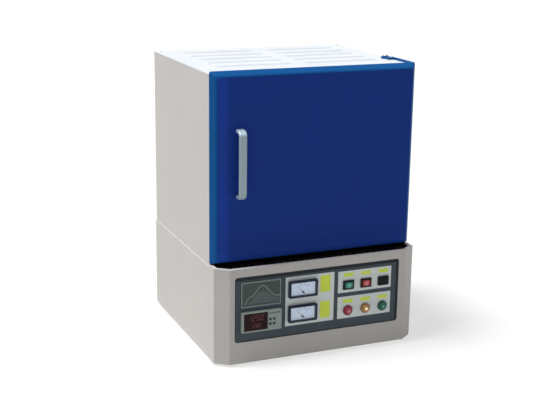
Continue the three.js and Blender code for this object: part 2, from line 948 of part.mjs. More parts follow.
function rockerBody() {
  const { face, dip, back } = rocker;
  const half = rockerPocketWidth / 2 - clearance;
  const frontHalf = rockerPocketHeight / 2 - rocker.frontGap;
  const rearHalf = rockerPocketHeight / 2 - rocker.rearGap;
  const section = outline([
    [back, -rearHalf],
    [back, rearHalf],
    [-face, frontHalf],
    [dip - face, 0],
    [-face, -frontHalf],
  ]);
  return alongX(section, -half, half);
}
const rockerHousing = switchHousing(rockerPocketWidth, rockerPocketHeight, rocker.pocketDepth);
add(
  controls,
  'power_switch_housing',
  rockerHousing,
  blackPlastic,
  buttonXs[2],
  -plate.thickness,
  button.z,
);
const rockerMesh = add(
  controls,
  'power_rocker',
  rockerBody(),
  blackPlastic,
  buttonXs[2],
  rocker.pivotDepth - plate.thickness - button.bezel,
  button.z,
);
rockerMesh.rotation.x = -THREE.MathUtils.degToRad(rocker.tilt);

// Signal lamps: body, bezel ring and domed lens
function signalLamp() {
  const { radius, bezel, bezelBevel, lensStep, lensHeight, bodyDepth } = lamp;
  const bodyRadius = lampBodyRadius;
  const lensRadius = radius - lamp.lensEdge;
  const domeRadius = (lensRadius ** 2 + lensHeight ** 2) / (2 * lensHeight);
  const domeRise = (share) => {
    const reach = lensRadius * (1 - share);
    return Math.sqrt(domeRadius ** 2 - reach ** 2) - domeRadius + lensHeight;
  };
  const lensBase = bezel + lensStep;
  const domeShares = [1 / 3, 2 / 3];
  const profile = [
    [0, -bodyDepth],
    [bodyRadius, -bodyDepth],
    [bodyRadius, 0],
    [radius, 0],
    [radius, bezel - bezelBevel],
    [radius - bezelBevel, bezel],
    [lensRadius, bezel],
    [lensRadius, lensBase],
    ...domeShares.map((share) => [lensRadius * (1 - share), lensBase + domeRise(share)]),
    [0, lensBase + lensHeight],
  ];
  return turnedToFront(profile, sides.medium);
}

[['alarm_lamp', redPlastic], ['heating_lamp', amberPlastic], ['power_lamp', greenPlastic]]
  .forEach(([name, material], index) => {
    add(controls, name, signalLamp(), material, lampXs[index], -plate.thickness, lamp.z);
  });

// Upper body: left side sheet with a flange at each end
const leftSection = foldedSheet([
  [cabinet.flange - upperHalf, cabinet.depth],
  [-upperHalf, cabinet.depth],
  [-upperHalf, 0],
  [cabinet.flange - upperHalf, 0],
], sheet);
add(upper, 'upper_left_panel', alongZ(leftSection, 0, topUnderside), greyPaint);

// Right side sheet: it begins behind the hinge post, because the door's wing covers the rest
const rightSection = foldedSheet([
  [upperHalf - cabinet.flange, rightPanelFront],
  [upperHalf, rightPanelFront],
  [upperHalf, cabinet.depth],
  [upperHalf - cabinet.flange, cabinet.depth],
], sheet);
add(upper, 'upper_right_panel', alongZ(rightSection, 0, topUnderside), greyPaint);

// Rear panel with two columns of louvres
function upperRearPanel() {
  const inset = cabinet.rearInset;
  const panel = block(
    [inset - upperHalf, cabinet.depth, inset],
    [upperHalf - inset, rearY, topUnderside - inset],
  );
  const { sideMargin, gap, first, last, pitch } = rearLouvres;
  const length = upperHalf - sideMargin - gap / 2;
  const x = (length + gap) / 2;
  const heights = rows(first, cabinet.upperHeight, last, pitch);
  const places = heights.flatMap((z) => [[-x, rearY, z], [x, rearY, z]]);
  return louvred(panel, length, places, facingRear);
}
add(upper, 'upper_rear_panel', upperRearPanel(), greyPaint);

// Top panel: notched at the right front for the door's wing, with two columns of louvres
function topPanel() {
  const notchX = wingInner - door.wingGap;
  const shape = outline([
    [-upperHalf, 0],
    [notchX, 0],
    [notchX, rightPanelFront],
    [upperHalf, rightPanelFront],
    [upperHalf, cabinet.depth],
    [-upperHalf, cabinet.depth],
  ], [outline(circle(spigotRadius + clearance, sides.medium, postX, postY))]);
  const { sideMargin, gap, first, last, pitch } = topLouvres;
  const length = upperHalf - sideMargin - gap / 2;
  const x = (length + gap) / 2;
  const height = cabinet.upperHeight;
  const places = rows(first, cabinet.depth, last, pitch).flatMap((y) => [[-x, y, height], [x, y, height]]);
  const panel = alongZ(shape, topUnderside, height);
  return louvred(panel, length, places, facingUp);
}
add(upper, 'top_panel', topPanel(), topPaint);

// Mouth frame: the steel wall that the door's seal meets
const mouthHalf = upperHalf - sheet - clearance;
const casingHeight = cabinet.upperHeight - casing.topGap;
const chamberZ = casingHeight / 2 + chamber.rise;

function mouthFrame() {
  const shape = outline([
    [-mouthHalf, clearance],
    [mouthHalf, clearance],
    [mouthHalf, topUnderside - clearance],
    [-mouthHalf, topUnderside - clearance],
  ], [outline(rectangle(mouth.openingWidth, mouth.openingHeight, 0, chamberZ))]);
  return alongY(shape, mouth.setback, mouth.setback + sheet);
}
add(upper, 'mouth_frame', mouthFrame(), zincSteel);

// Inner casing: a steel box, open to the front, that keeps an air gap to the outer sheets
const casingHalf = upperHalf - sheet - casing.sideGap;
const casingFront = mouth.setback + sheet;
const casingRear = cabinet.depth - casing.rearGap;
const liningHalfWidth = chamber.width / 2 + chamber.lining;
const liningHalfHeight = chamber.height / 2 + chamber.lining;
const liningRear = casingRear - sheet - casing.rearWall;
const chamberDepth = liningRear - chamber.lining - mouth.setback;
const chamberRoof = chamberZ + chamber.height / 2;
const chamberFloor = chamberZ - chamber.height / 2;

// A heating element hangs beside each side wall of the chamber
const elementX = chamber.width / 2 - element.wallGap;
const elementY = mouth.setback + element.frontGap;
const legSpacing = chamberDepth - element.frontGap - element.rearGap;
const legYs = [elementY, elementY + legSpacing];
const legPlaces = [-elementX, elementX].flatMap((x) => legYs.map((y) => [x, y]));
const thermocoupleY = mouth.setback + chamberDepth - thermocouple.rearGap;

function roofHoles(low, high) {
  const legs = legPlaces.map(([x, y]) => alongZ(
    outline(circle(element.terminalRadius + element.hole, sides.coarse, x, y)),
    low,
    high,
  ));
  const sheath = alongZ(
    outline(circle(thermocouple.sheathRadius + clearance, sides.coarse, 0, thermocoupleY)),
    low,
    high,
  );
  return [...legs, sheath];
}

function innerCasing() {
  const outside = block([-casingHalf, casingFront, 0], [casingHalf, casingRear, casingHeight]);
  const inside = block(
    [sheet - casingHalf, casingFront - overrun, sheet],
    [casingHalf - sheet, casingRear - sheet, casingHeight - sheet],
  );
  return cut(outside, inside, ...roofHoles(casingHeight - 2 * sheet, casingHeight + overrun));
}
add(upper, 'inner_casing', innerCasing(), zincSteel);

// Backup insulation of fibre blocks, with a boss that fills the mouth frame's opening
function backupInsulation() {
  const gap = sheet + clearance;
  const bulk = block(
    [gap - casingHalf, casingFront + clearance, gap],
    [casingHalf - gap, casingRear - gap, casingHeight - gap],
  );
  const bossHalfWidth = mouth.openingWidth / 2 - clearance;
  const bossHalfHeight = mouth.openingHeight / 2 - clearance;
  const boss = block(
    [-bossHalfWidth, mouth.setback, chamberZ - bossHalfHeight],
    [bossHalfWidth, casingFront + sheet, chamberZ + bossHalfHeight],
  );
  const cavity = block(
    [
      -liningHalfWidth - clearance,
      mouth.setback - overrun,
      chamberZ - liningHalfHeight - clearance,
    ],
    [
      liningHalfWidth + clearance,
      liningRear + clearance,
      chamberZ + liningHalfHeight + clearance,
    ],
  );
  return cut(join(bulk, boss), cavity, ...roofHoles(chamberRoof, casingHeight));
}
add(upper, 'chamber_insulation', backupInsulation(), fibreBoard);

// Hot-face lining: an alumina fibre box, open to the front
function chamberLining() {
  const outside = block(
    [-liningHalfWidth, mouth.setback, chamberZ - liningHalfHeight],
    [liningHalfWidth, liningRear, chamberZ + liningHalfHeight],
  );
  const inside = block(
    [-chamber.width / 2, mouth.setback - overrun, chamberFloor],
    [chamber.width / 2, mouth.setback + chamberDepth, chamberRoof],
  );
  return cut(outside, inside, ...roofHoles(chamberRoof - overrun, casingHeight));
}
add(upper, 'chamber_lining', chamberLining(), alumina);

// Hearth plate on the chamber's floor, between the elements
const hearthFront = door.plugDepth + hearth.frontGap;
const hearthHalf = chamber.width / 2 - hearth.sideGap;
const hearthPlate = block(
  [-hearthHalf, hearthFront, 0],
  [hearthHalf, chamberDepth - hearth.rearGap, hearth.thickness],
);
add(upper, 'hearth_plate', hearthPlate, alumina, 0, mouth.setback, chamberFloor);

// One U-shaped heating element, with its two thick terminals, from the casing's top down
function heatingElement() {
  const { hotRadius, terminalRadius, floorGap, shankBelowRoof, terminalRise, bendSteps } = element;
  const half = legSpacing / 2;
  const shankBottom = chamberRoof - shankBelowRoof;
  const bendZ = chamberFloor + floorGap + half;
  const bend = Array.from({ length: bendSteps + 1 }, (_, index) => {
    const angle = Math.PI * (1 + index / bendSteps);
    return new THREE.Vector3(0, half + half * Math.cos(angle), bendZ + half * Math.sin(angle));
  });
  const path = new THREE.CurvePath();
  const stations = [
    new THREE.Vector3(0, 0, chamberRoof),
    ...bend,
    new THREE.Vector3(0, legSpacing, chamberRoof),
  ];
  stations.slice(1).forEach((station, index) => {
    path.add(new THREE.LineCurve3(stations[index], station));
  });
  const hotZone = new THREE.ExtrudeGeometry(outline(circle(hotRadius, sides.rod)), {
    steps: element.steps,
    bevelEnabled: false,
    extrudePath: path,
  });
  const terminals = [0, legSpacing].map((y) => alongZ(
    outline(circle(terminalRadius, sides.coarse, 0, y)),
    shankBottom,
    casingHeight + terminalRise,
  ));
  return join(hotZone, ...terminals);
}

// A ceramic holder clamps the two terminals of each element on the casing's top
function elementHolder() {
  const shape = outline(
    rectangle(holder.width, legSpacing + 2 * holder.margin, 0, legSpacing / 2),
    [0, legSpacing].map((y) =>
      outline(circle(element.terminalRadius + clearance, sides.coarse, 0, y))),
  );
  return alongZ(shape, 0, holder.height);
}

[['left', -elementX], ['right', elementX]].forEach(([side, x]) => {
  add(upper, `heating_element_${side}`, heatingElement(), silicide, x, elementY, 0);
  add(upper, `element_holder_${side}`, elementHolder(), alumina, x, elementY, casingHeight);
});

// Thermocouple: ceramic sheath down into the chamber, with its head on the casing
function thermocoupleBody() {
  const tip = chamberRoof - thermocouple.tipBelowRoof - casingHeight;
  const { headRadius, headHeight, flangeEdge, flangeHeight, sheathRadius, bevel } = thermocouple;
  const flangeRadius = headRadius + flangeEdge;
  return turned([
    [0, tip],
    [sheathRadius, tip + sheathRadius],
    [sheathRadius, 0],
    [flangeRadius, 0],
    [flangeRadius, flangeHeight],
    [headRadius, flangeHeight],
    [headRadius, headHeight - bevel],
    [headRadius - bevel, headHeight],
    [0, headHeight],
  ], sides.medium);
}
add(upper, 'thermocouple', thermocoupleBody(), alumina, 0, thermocoupleY, casingHeight);

// Hinge post: a turned bar from the deck to above the top panel
const armTopLow = cabinet.upperHeight + arm.topGap;
const armBottomLow = doorBottom;

function hingePost() {
  const { radius, collarHeight, headHeight } = post;
  const collarRadius = radius + post.collarEdge;
  const shoulder = topUnderside - clearance;
  const headLow = armTopLow + arm.thickness + clearance;
  return turned([
    [0, 0],
    [collarRadius, 0],
    [collarRadius, collarHeight],
    [radius, collarHeight],
    [radius, shoulder],
    [spigotRadius, shoulder],
    [spigotRadius, headLow],
    [radius, headLow],
    [radius, headLow + headHeight - post.headBevel],
    [radius - post.headBevel, headLow + headHeight],
    [0, headLow + headHeight],
  ], sides.medium);
}
add(upper, 'hinge_post', hingePost(), zincSteel, postX, postY, 0);

// Door skin: bevelled pan in front, with the wing that runs back to the hinge on the right
function bevelledPan(halfWidth, low, high, back, edge, bevel) {
  const front = back - edge;
  const rim = block([-halfWidth, front, low], [halfWidth, back, high]);
  const faceHalf = halfWidth - bevel;
  const corners = [];
  [[halfWidth, low, high, front], [faceHalf, low + bevel, high - bevel, front - bevel]]
    .forEach(([half, bottom, top, y]) => {
      corners.push([-half, y, bottom], [half, y, bottom], [half, y, top], [-half, y, top]);
    });
  const quads = [[0, 3, 2, 1], [4, 5, 6, 7], [0, 1, 5, 4], [1, 2, 6, 5], [2, 3, 7, 6], [3, 0, 4, 7]];
  const slope = new THREE.BufferGeometry();
  const positions = quads.flatMap(([a, b, c, d]) => [a, b, c, a, c, d]).flatMap((i) => corners[i]);
  slope.setAttribute('position', new THREE.Float32BufferAttribute(positions, 3));
  return [rim, slope];
}

function doorSkin() {
  const outside = bevelledPan(
    doorHalf,
    doorBottom,
    doorTop,
    doorBack,
    door.edge,
    door.bevel,
  );
  const mitre = sheet * (Math.SQRT2 - 1);
  const inside = bevelledPan(
    doorHalf - sheet,
    doorBottom + sheet,
    doorTop - sheet,
    doorBack,
    door.edge - mitre,
    door.bevel + mitre - sheet,
  );
  const hollow = block(
    [sheet - doorHalf, doorBack - mitre, doorBottom + sheet],
    [doorHalf - sheet, doorBack + overrun, doorTop - sheet],
  );
  const wing = block(
    [wingInner, doorBack - sheet, doorBottom],
    [doorHalf, postY - door.wingEnd, doorTop],
  );
  return join(cut(join(...outside), ...inside, hollow), wing);
}
add(doorLeaf, 'door_skin', doorSkin(), bluePaint);

// Door frame: backing plate inside the skin, and the tray that holds the insulation
const trayLeft = cabinet.flange + door.trayGap - upperHalf;
const trayRight = postX - door.trayHingeGap;
const trayLow = door.trayBottom;
const trayHigh = topUnderside - door.trayTop - sheet;

function doorFrame() {
  const gap = sheet + clearance;
  const backing = block(
    [gap - doorHalf, doorBack - sheet, doorBottom + gap],
    [wingInner - clearance, doorBack, doorTop - gap],
  );
  const tray = block([trayLeft, doorBack - sheet / 2, trayLow], [trayRight, trayDepth, trayHigh]);
  const inside = block(
    [trayLeft + sheet, doorBack, trayLow + sheet],
    [trayRight - sheet, trayDepth + overrun, trayHigh - sheet],
  );
  return join(backing, cut(tray, inside));
}
add(doorLeaf, 'door_frame', doorFrame(), zincSteel);

// Door insulation fills the tray and stands proud of it towards the mouth
const sealBack = mouth.setback - clearance;
const blockRear = sealBack - seal.thickness;
const blockGap = sheet + clearance;
const doorBlock = block(
  [trayLeft + blockGap, doorBack + clearance, trayLow + blockGap],
  [trayRight - blockGap, blockRear, trayHigh - blockGap],
);
add(doorLeaf, 'door_insulation', doorBlock, fibreBoard);

// Hot-face plug that enters the chamber's mouth
const plugHalf = chamber.width / 2 - door.plugGap;
const plugHalfHeight = chamber.height / 2 - door.plugVerticalGap;
const plug = block(
  [-plugHalf, blockRear, chamberZ - plugHalfHeight],
  [plugHalf, mouth.setback + door.plugDepth, chamberZ + plugHalfHeight],
);
add(doorLeaf, 'door_plug', plug, alumina);

// Rope seal round the plug
function doorSeal() {
  const inner = chamber.width + 2 * seal.gap;
  const outer = inner + 2 * seal.width;
  return alongY(
    outline(rectangle(outer, outer, 0, chamberZ), [
      outline(rectangle(inner, inner, 0, chamberZ)),
    ]),
    blockRear,
    sealBack,
  );
}
add(doorLeaf, 'door_seal', doorSeal(), fibreBoard);

// Hinge arms from the wing to the post: one above the top panel, one above the deck
function hingeArm(bore) {
  const lobe = outline(circle(post.radius + arm.lobeEdge, sides.fine, postX, postY));
  const bar = outline([
    [wingInner - arm.width, postY - arm.length],
    [wingInner, postY - arm.length],
    [wingInner, postY - door.wingEnd],
    [wingInner - arm.width, postY],
  ]);
  const hole = outline(circle(bore + arm.runningGap, sides.fine, postX, postY));
  const low = -overrun;
  const high = arm.thickness + overrun;
  const parts = [lobe, bar].map((shape) => alongZ(shape, 0, arm.thickness));
  return cut(join(...parts), alongZ(hole, low, high));
}
add(doorLeaf, 'hinge_arm_top', hingeArm(spigotRadius), bluePaint, 0, 0, armTopLow);
add(doorLeaf, 'hinge_arm_bottom', hingeArm(post.radius), bluePaint, 0, 0, armBottomLow);

// Bow handle of flat-oval bar
function bowHandle() {
  const { length, standoff, width, thickness, round, bend, steps } = handle;
  const reach = length - thickness;
  const path = new THREE.CurvePath();
  const at = (y, z) => new THREE.Vector3(0, -y, z);
  path.add(new THREE.LineCurve3(at(0, 0), at(standoff - bend, 0)));
  path.add(new THREE.QuadraticBezierCurve3(at(standoff - bend, 0), at(standoff, 0), at(standoff, bend)));
  path.add(new THREE.LineCurve3(at(standoff, bend), at(standoff, reach - bend)));
  path.add(new THREE.QuadraticBezierCurve3(
    at(standoff, reach - bend),
    at(standoff, reach),
    at(standoff - bend, reach),
  ));
  path.add(new THREE.LineCurve3(at(standoff - bend, reach), at(0, reach)));
  const section = roundedRectangle(thickness, width, round);
  return new THREE.ExtrudeGeometry(section, {
    steps,
    curveSegments: 2,
    bevelEnabled: false,
    extrudePath: path,
  });
}
add(
  doorLeaf,
  'door_handle',
  bowHandle(),
  polishedSteel,
  handle.sideInset - doorHalf,
  doorFront,
  (doorBottom + doorTop - handle.length + handle.thickness) / 2 + handle.rise,
);

// The origin stands under the middle of the whole furnace
const mostForward = panelY - plate.thickness - meter.bezel;
const mostRearward = rearY + gland.flangeLength + gland.capLength + gland.noseLength;

base.position.z = foot.height;
controls.position.set(fascia.openingShift, panelY, openingCentreZ);
base.add(controls);
upper.position.z = foot.height + cabinet.baseHeight;
upper.add(doorLeaf);
furnace.add(base, upper);
furnace.position.y = -(mostForward + mostRearward) / 2;
furnace.updateMatrixWorld(true);

export default furnace;
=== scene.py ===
"""A bench-top box furnace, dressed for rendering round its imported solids.

Metres, in the solids' own frame: +X is the furnace's right, +Y its rear and +Z up.
"""

import math

import bmesh
import bpy
from mathutils import Matrix, Vector


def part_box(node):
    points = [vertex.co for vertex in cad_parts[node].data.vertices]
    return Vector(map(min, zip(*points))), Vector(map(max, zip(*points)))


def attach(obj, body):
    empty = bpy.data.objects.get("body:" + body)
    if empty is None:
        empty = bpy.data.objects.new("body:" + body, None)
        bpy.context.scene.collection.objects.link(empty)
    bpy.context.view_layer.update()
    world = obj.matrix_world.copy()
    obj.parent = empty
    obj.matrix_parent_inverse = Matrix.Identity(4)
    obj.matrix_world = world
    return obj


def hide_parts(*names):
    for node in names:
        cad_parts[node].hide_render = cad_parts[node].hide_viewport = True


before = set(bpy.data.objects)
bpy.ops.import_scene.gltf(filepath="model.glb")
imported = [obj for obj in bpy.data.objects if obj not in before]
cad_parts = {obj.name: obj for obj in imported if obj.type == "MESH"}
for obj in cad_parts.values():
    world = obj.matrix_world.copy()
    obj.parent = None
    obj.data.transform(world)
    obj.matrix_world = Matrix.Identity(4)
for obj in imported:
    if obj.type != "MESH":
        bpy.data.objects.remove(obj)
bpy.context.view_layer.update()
scene = bpy.context.scene
scene.view_settings.view_transform = "Standard"


# Camera: it stands where the photograph's camera stood, which sees the door, the left side and
# the top. Its place was found by matching the cabinet's edges, so it looks at a named point of
# the furnace from a distance, an azimuth, an elevation and a slight roll.
def placed(name, data):
    """A new object in the scene."""
    thing = bpy.data.objects.new(name, data)
    scene.collection.objects.link(thing)
    return thing


look_at = Vector((-0.0285, -0.0337, 0.3045))
camera_distance = 2.65
camera_azimuth = math.radians(-22.99)
camera_elevation = math.radians(15.14)
camera_roll = math.radians(0.80)
focal_pixels, image_width, sensor_width = 1105.4, 550, 36

camera_data = bpy.data.cameras.new("camera")
camera_data.sensor_width = sensor_width
camera_data.lens = sensor_width * focal_pixels / image_width
camera = placed("camera", camera_data)
turn = (
    Matrix.Rotation(camera_azimuth, 4, "Z")
    @ Matrix.Rotation(math.pi / 2 - camera_elevation, 4, "X")
    @ Matrix.Rotation(camera_roll, 4, "Z")
)
camera.matrix_world = Matrix.Translation(look_at) @ turn @ Matrix.Translation((0, 0, camera_distance))
scene.camera = camera


# Floor and light: a plain pale studio sweep. A soft lamp stands high on the left, a little behind,
# so the top is the brightest side and the door is in shade, and the sky and the floor fill the
# rest. Both look white to the camera, to gloss and to glass, and the floor keeps the shadow.
def linear(code):
    """An sRGB hex colour as linear red, green, blue and a full alpha."""
    shares = [int(code[start:start + 2], 16) / 255 for start in (1, 3, 5)]
    return (*[s / 12.92 if s <= 0.04045 else ((s + 0.055) / 1.055) ** 2.4 for s in shares], 1.0)


def put(tree, kind, inputs=None, **settings):
    """Adds a node. Settings are its properties; inputs are values, or nodes or sockets that feed it."""
    node = tree.nodes.new(kind)
    for name, value in settings.items():
        setattr(node, name, value)
    for name, value in (inputs or {}).items():
        if isinstance(value, bpy.types.Node):
            value = value.outputs[0]
        if isinstance(value, bpy.types.NodeSocket):
            tree.links.new(value, node.inputs[name])
        else:
            node.inputs[name].default_value = value
    return node


def empty_material(name):
    """A material and its bare node tree."""
    material = bpy.data.materials.new(name)
    material.use_nodes = True
    material.node_tree.nodes.clear()
    return material, material.node_tree


def seen_directly(tree):
    """One where the camera, gloss or glass looks straight at a thing, and zero elsewhere."""
    rays = put(tree, "ShaderNodeLightPath").outputs
    seen = put(tree, "ShaderNodeMath", {0: rays["Is Camera Ray"], 1: rays["Is Glossy Ray"]},
               operation="MAXIMUM")
    return put(tree, "ShaderNodeMath", {0: seen, 1: rays["Is Transmission Ray"]}, operation="MAXIMUM")


floor_lift, floor_bounce, sky_strength = 0.62, 0.30, 0.22
studio_paper, tree = empty_material("matt white paper")
paper = put(tree, "ShaderNodeBsdfDiffuse", {"Color": linear("#AAAAA8")})
lift = put(tree, "ShaderNodeMath", {
    0: seen_directly(tree), 1: floor_lift - floor_bounce, 2: floor_bounce,
}, operation="MULTIPLY_ADD")
glow = put(tree, "ShaderNodeEmission", {"Strength": lift})
both = put(tree, "ShaderNodeAddShader", {0: paper, 1: glow})
put(tree, "ShaderNodeOutputMaterial", {"Surface": both})

half_floor = 15
floor_mesh = bpy.data.meshes.new("floor")
floor_mesh.from_pydata(
    [(half_floor * x, half_floor * y, 0) for x, y in ((-1, -1), (1, -1), (1, 1), (-1, 1))],
    [],
    [(0, 1, 2, 3)],
)
floor_mesh.materials.append(studio_paper)
placed("floor", floor_mesh)

world = bpy.data.worlds.new("studio")
world.use_nodes = True
tree = world.node_tree
tree.nodes.clear()
fill = put(tree, "ShaderNodeBackground", {"Color": linear("#F4F6FA"), "Strength": sky_strength})
white = put(tree, "ShaderNodeBackground", {"Color": (1, 1, 1, 1), "Strength": 1.0})
sky = put(tree, "ShaderNodeMixShader", {0: seen_directly(tree), 1: fill, 2: white})
put(tree, "ShaderNodeOutputWorld", {"Surface": sky})
scene.world = world

lamp_data = bpy.data.lights.new("soft lamp", "SUN")
lamp_data.energy = 3.5
lamp_data.angle = math.radians(24)
lamp_from = Vector((-0.355, 0.13, 0.92))
placed("soft lamp", lamp_data).matrix_world = lamp_from.to_track_quat("Z", "Y").to_matrix().to_4x4()


# Base cabinet: floor and sides folded from one 2 mm steel sheet, with a shallow deck tray on top.
# It is stove-dried grey powder coat, which leaves slightly soft corners and an orange peel, drawn a
# little coarser than the real one so that it shows.
MM = 0.001
sheet, fold_radius, fold_steps = 2 * MM, 3 * MM, 4
cut_edge = 0.3 * MM
cloud_width, peel_height, gloss_spread = 111.1 * MM, 0.1 * MM, 0.04
noise_span = {"From Min": 0.3, "From Max": 0.7}


def patterned(name):
    """A material, its bare node tree and the furnace's own coordinates, which its patterns follow."""
    material, tree = empty_material(name)
    return material, tree, put(tree, "ShaderNodeTexCoord").outputs["Object"]


def finished(material, inputs):
    """Ends a material with one principled surface."""
    tree = material.node_tree
    skin = put(tree, "ShaderNodeBsdfPrincipled", inputs)
    put(tree, "ShaderNodeOutputMaterial", {"Surface": skin})
    return material


def coated(name, colour, roughness, peel_mm, peel_depth, specular=0.5, mottle=0.03, glow=0.0):
    """Enamel, powder coat or moulded skin: an even colour with slight mottling and orange peel."""
    material, tree, places = patterned(name)
    cloud = put(tree, "ShaderNodeTexNoise", {"Vector": places, "Scale": 1 / cloud_width})
    tone = put(tree, "ShaderNodeMapRange", noise_span | {
        "Value": cloud, "To Min": 1 - mottle, "To Max": 1 + mottle,
    })
    base = put(tree, "ShaderNodeVectorMath", {0: linear(colour)[:3], "Scale": tone}, operation="SCALE")
    peel = put(tree, "ShaderNodeTexNoise", {"Vector": places, "Scale": 1 / (peel_mm * MM), "Detail": 1.0})
    bump = put(tree, "ShaderNodeBump", {"Height": peel, "Strength": peel_depth, "Distance": peel_height})
    rub = put(tree, "ShaderNodeMapRange", noise_span | {
        "Value": cloud, "To Min": roughness - gloss_spread, "To Max": roughness + gloss_spread,
    })
    return finished(material, {
        "Base Color": base, "Roughness": rub, "Normal": bump,
        "Specular IOR Level": specular, "Emission Color": linear(colour), "Emission Strength": glow,
    })


def mesh_object(name, corners, faces, material):
    """A piece from plain corners and faces, its doubles merged and its faces turned outwards."""
    mesh = bpy.data.meshes.new(name)
    mesh.from_pydata([tuple(c) for c in corners], [], faces)
    work = bmesh.new()
    work.from_mesh(mesh)
    bmesh.ops.remove_doubles(work, verts=work.verts, dist=1e-6)
    bmesh.ops.recalc_face_normals(work, faces=work.faces)
    work.to_mesh(mesh)
    work.free()
    mesh.materials.append(material)
    return placed(name, mesh)


def as_mesh(thing):
    """What a thing's data and modifiers make, as a plain mesh."""
    bpy.context.view_layer.update()
    return bpy.data.meshes.new_from_object(thing.evaluated_get(bpy.context.evaluated_depsgraph_get()))


def settle(piece):
    """Makes a piece's modifiers part of its mesh."""
    mesh = as_mesh(piece)
    piece.modifiers.clear()
    piece.data = mesh
    return piece


def soften(piece, edge=0.0, angle=40, segments=2):
    """Rounds the sharp edges, then shades the piece smooth with its large faces kept flat."""
    if edge:
        bevel = piece.modifiers.new("soft edges", "BEVEL")
        bevel.width = edge
        bevel.segments = segments
        bevel.limit_method = "ANGLE"
        bevel.angle_limit = math.radians(angle)
        settle(piece)
    piece.data.polygons.foreach_set("use_smooth", [True] * len(piece.data.polygons))
    piece.data.set_sharp_from_angle(angle=math.radians(angle))
    piece.modifiers.new("flat faces", "WEIGHTED_NORMAL").keep_sharp = True
    return settle(piece)


def fit(piece, body, slot, *nodes):
    """Says which body a finished piece moves with and hides the solids it stands for; slot is not used."""
    if nodes:
        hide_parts(*nodes)
    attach(piece, body)
    return piece


def from_solid(node, name, body, slot, material, edge=0.0, segments=2):
    """A piece that keeps a solid's shape, with its flat faces merged and its edges rounded."""
    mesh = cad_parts[node].data.copy()
    work = bmesh.new()
    work.from_mesh(mesh)
    bmesh.ops.remove_doubles(work, verts=work.verts, dist=1e-6)
    bmesh.ops.dissolve_limit(work, angle_limit=math.radians(1), verts=work.verts, edges=work.edges)
    work.to_mesh(mesh)
    work.free()
    mesh.materials.clear()
    mesh.materials.append(material)
    return fit(soften(placed(name, mesh), edge, 30, segments), body, slot, node)


def fold_line(points, radius):
    """A fold line as pairs of a point and the unit vector to its left, with arcs at the corners."""
    places = [Vector(p) for p in points]
    ways = [(b - a).normalized() for a, b in zip(places, places[1:])]
    lefts = [Vector((-w.y, w.x)) for w in ways]
    line = [(places[0], lefts[0])]
    for corner, way, left, after in zip(places[1:-1], ways, lefts, ways[1:]):
        angle = math.atan2(way.cross(after), way.dot(after))
        side = math.copysign(1, angle)
        start = corner - way * radius * math.tan(abs(angle) / 2)
        centre = start + left * radius * side
        for step in range(fold_steps + 1):
            spun = Matrix.Rotation(angle * step / fold_steps, 2) @ left
            line.append((centre - spun * radius * side, spun))
    line.append((places[-1], lefts[-1]))
    return line


def folded_outline(points, radius):
    """The closed section of a folded sheet that lies to the left of its fold line."""
    line = fold_line(points, radius)
    return [p for p, _ in line] + [p + left * sheet for p, left in reversed(line)]


# Matrices that take a flat drawing's right, up and outward axes to a side of the furnace
FACING_FRONT = Matrix(((1, 0, 0, 0), (0, 0, -1, 0), (0, 1, 0, 0), (0, 0, 0, 1)))
FACING_REAR = Matrix(((-1, 0, 0, 0), (0, 0, 1, 0), (0, 1, 0, 0), (0, 0, 0, 1)))
FACING_UP = Matrix.Identity(4)


def extruded(name, outline, low, high, side, material, edge=cut_edge):
    """A section in a side's plane, pushed out along its normal from low to high."""
    count = len(outline)
    corners = [side @ Vector((p[0], p[1], depth)) for depth in (low, high) for p in outline]
    faces = [tuple(range(count)), tuple(range(count, 2 * count))]
    faces += [(i, (i + 1) % count, count + (i + 1) % count, count + i) for i in range(count)]
    return soften(mesh_object(name, corners, faces, material), edge)


grey_powder_coat = coated("grey powder coat on steel", "#CAC6C2", 0.5, 1.4, 0.35, specular=0.3)
base_low, base_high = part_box("base_shell")
front_edge, rear_edge, half_width = base_low.y, base_high.y, base_high.x
shell_fold = [(-half_width, base_high.z), (-half_width, base_low.z), (half_width, base_low.z),
              (half_width, base_high.z)]
base_shell = extruded("base_floor_and_sides", folded_outline(shell_fold, fold_radius),
                      -rear_edge, -front_edge, FACING_FRONT, grey_powder_coat)
fit(base_shell, "cabinet", "grey_paint", "base_shell")
from_solid("base_deck", "deck_tray", "cabinet", "grey_paint", grey_powder_coat, edge=0.5 * MM)


# Feet: four moulded rubber feet screwed under the base floor. The rubber is matt and dark, with
# fine dust in its pores and a rounded tread.
def lathed(name, profile, material, matrix=FACING_UP, count=48):
    """A turned piece from pairs of radius and height that start and end on the axis."""
    corners, faces = [], []
    for radius, height in profile:
        for spoke in range(count):
            around = 2 * math.pi * spoke / count
            corners.append(matrix @ Vector((radius * math.cos(around), radius * math.sin(around), height)))
    for ring in range(len(profile) - 1):
        for spoke in range(count):
            after = (spoke + 1) % count
            faces.append((ring * count + spoke, ring * count + after,
                          (ring + 1) * count + after, (ring + 1) * count + spoke))
    return soften(mesh_object(name, corners, faces, material), angle=30)


foot_rubber = coated("moulded black rubber", "#1D1D1E", 0.85, 0.6, 0.5, specular=0.3, mottle=0.12)
tread_edge, tread_chamfer, foot_rim = 2 * MM, 0.6 * MM, MM
for end in ("front", "rear"):
    for side in ("left", "right"):
        low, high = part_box(f"foot_{end}_{side}")
        centre, radius, height = (low + high) / 2, (high.x - low.x) / 2, high.z - low.z
        tread = [(0, 0), (radius - tread_edge, 0), (radius - tread_chamfer, tread_chamfer),
                 (radius, tread_edge), (radius, height - foot_rim), (radius - foot_rim, height), (0, height)]
        foot = lathed(f"rubber_foot_{end}_{side}", tread, foot_rubber,
                      Matrix.Translation((centre.x, centre.y, low.z)))
        fit(foot, "cabinet", "foot_rubber", f"foot_{end}_{side}")


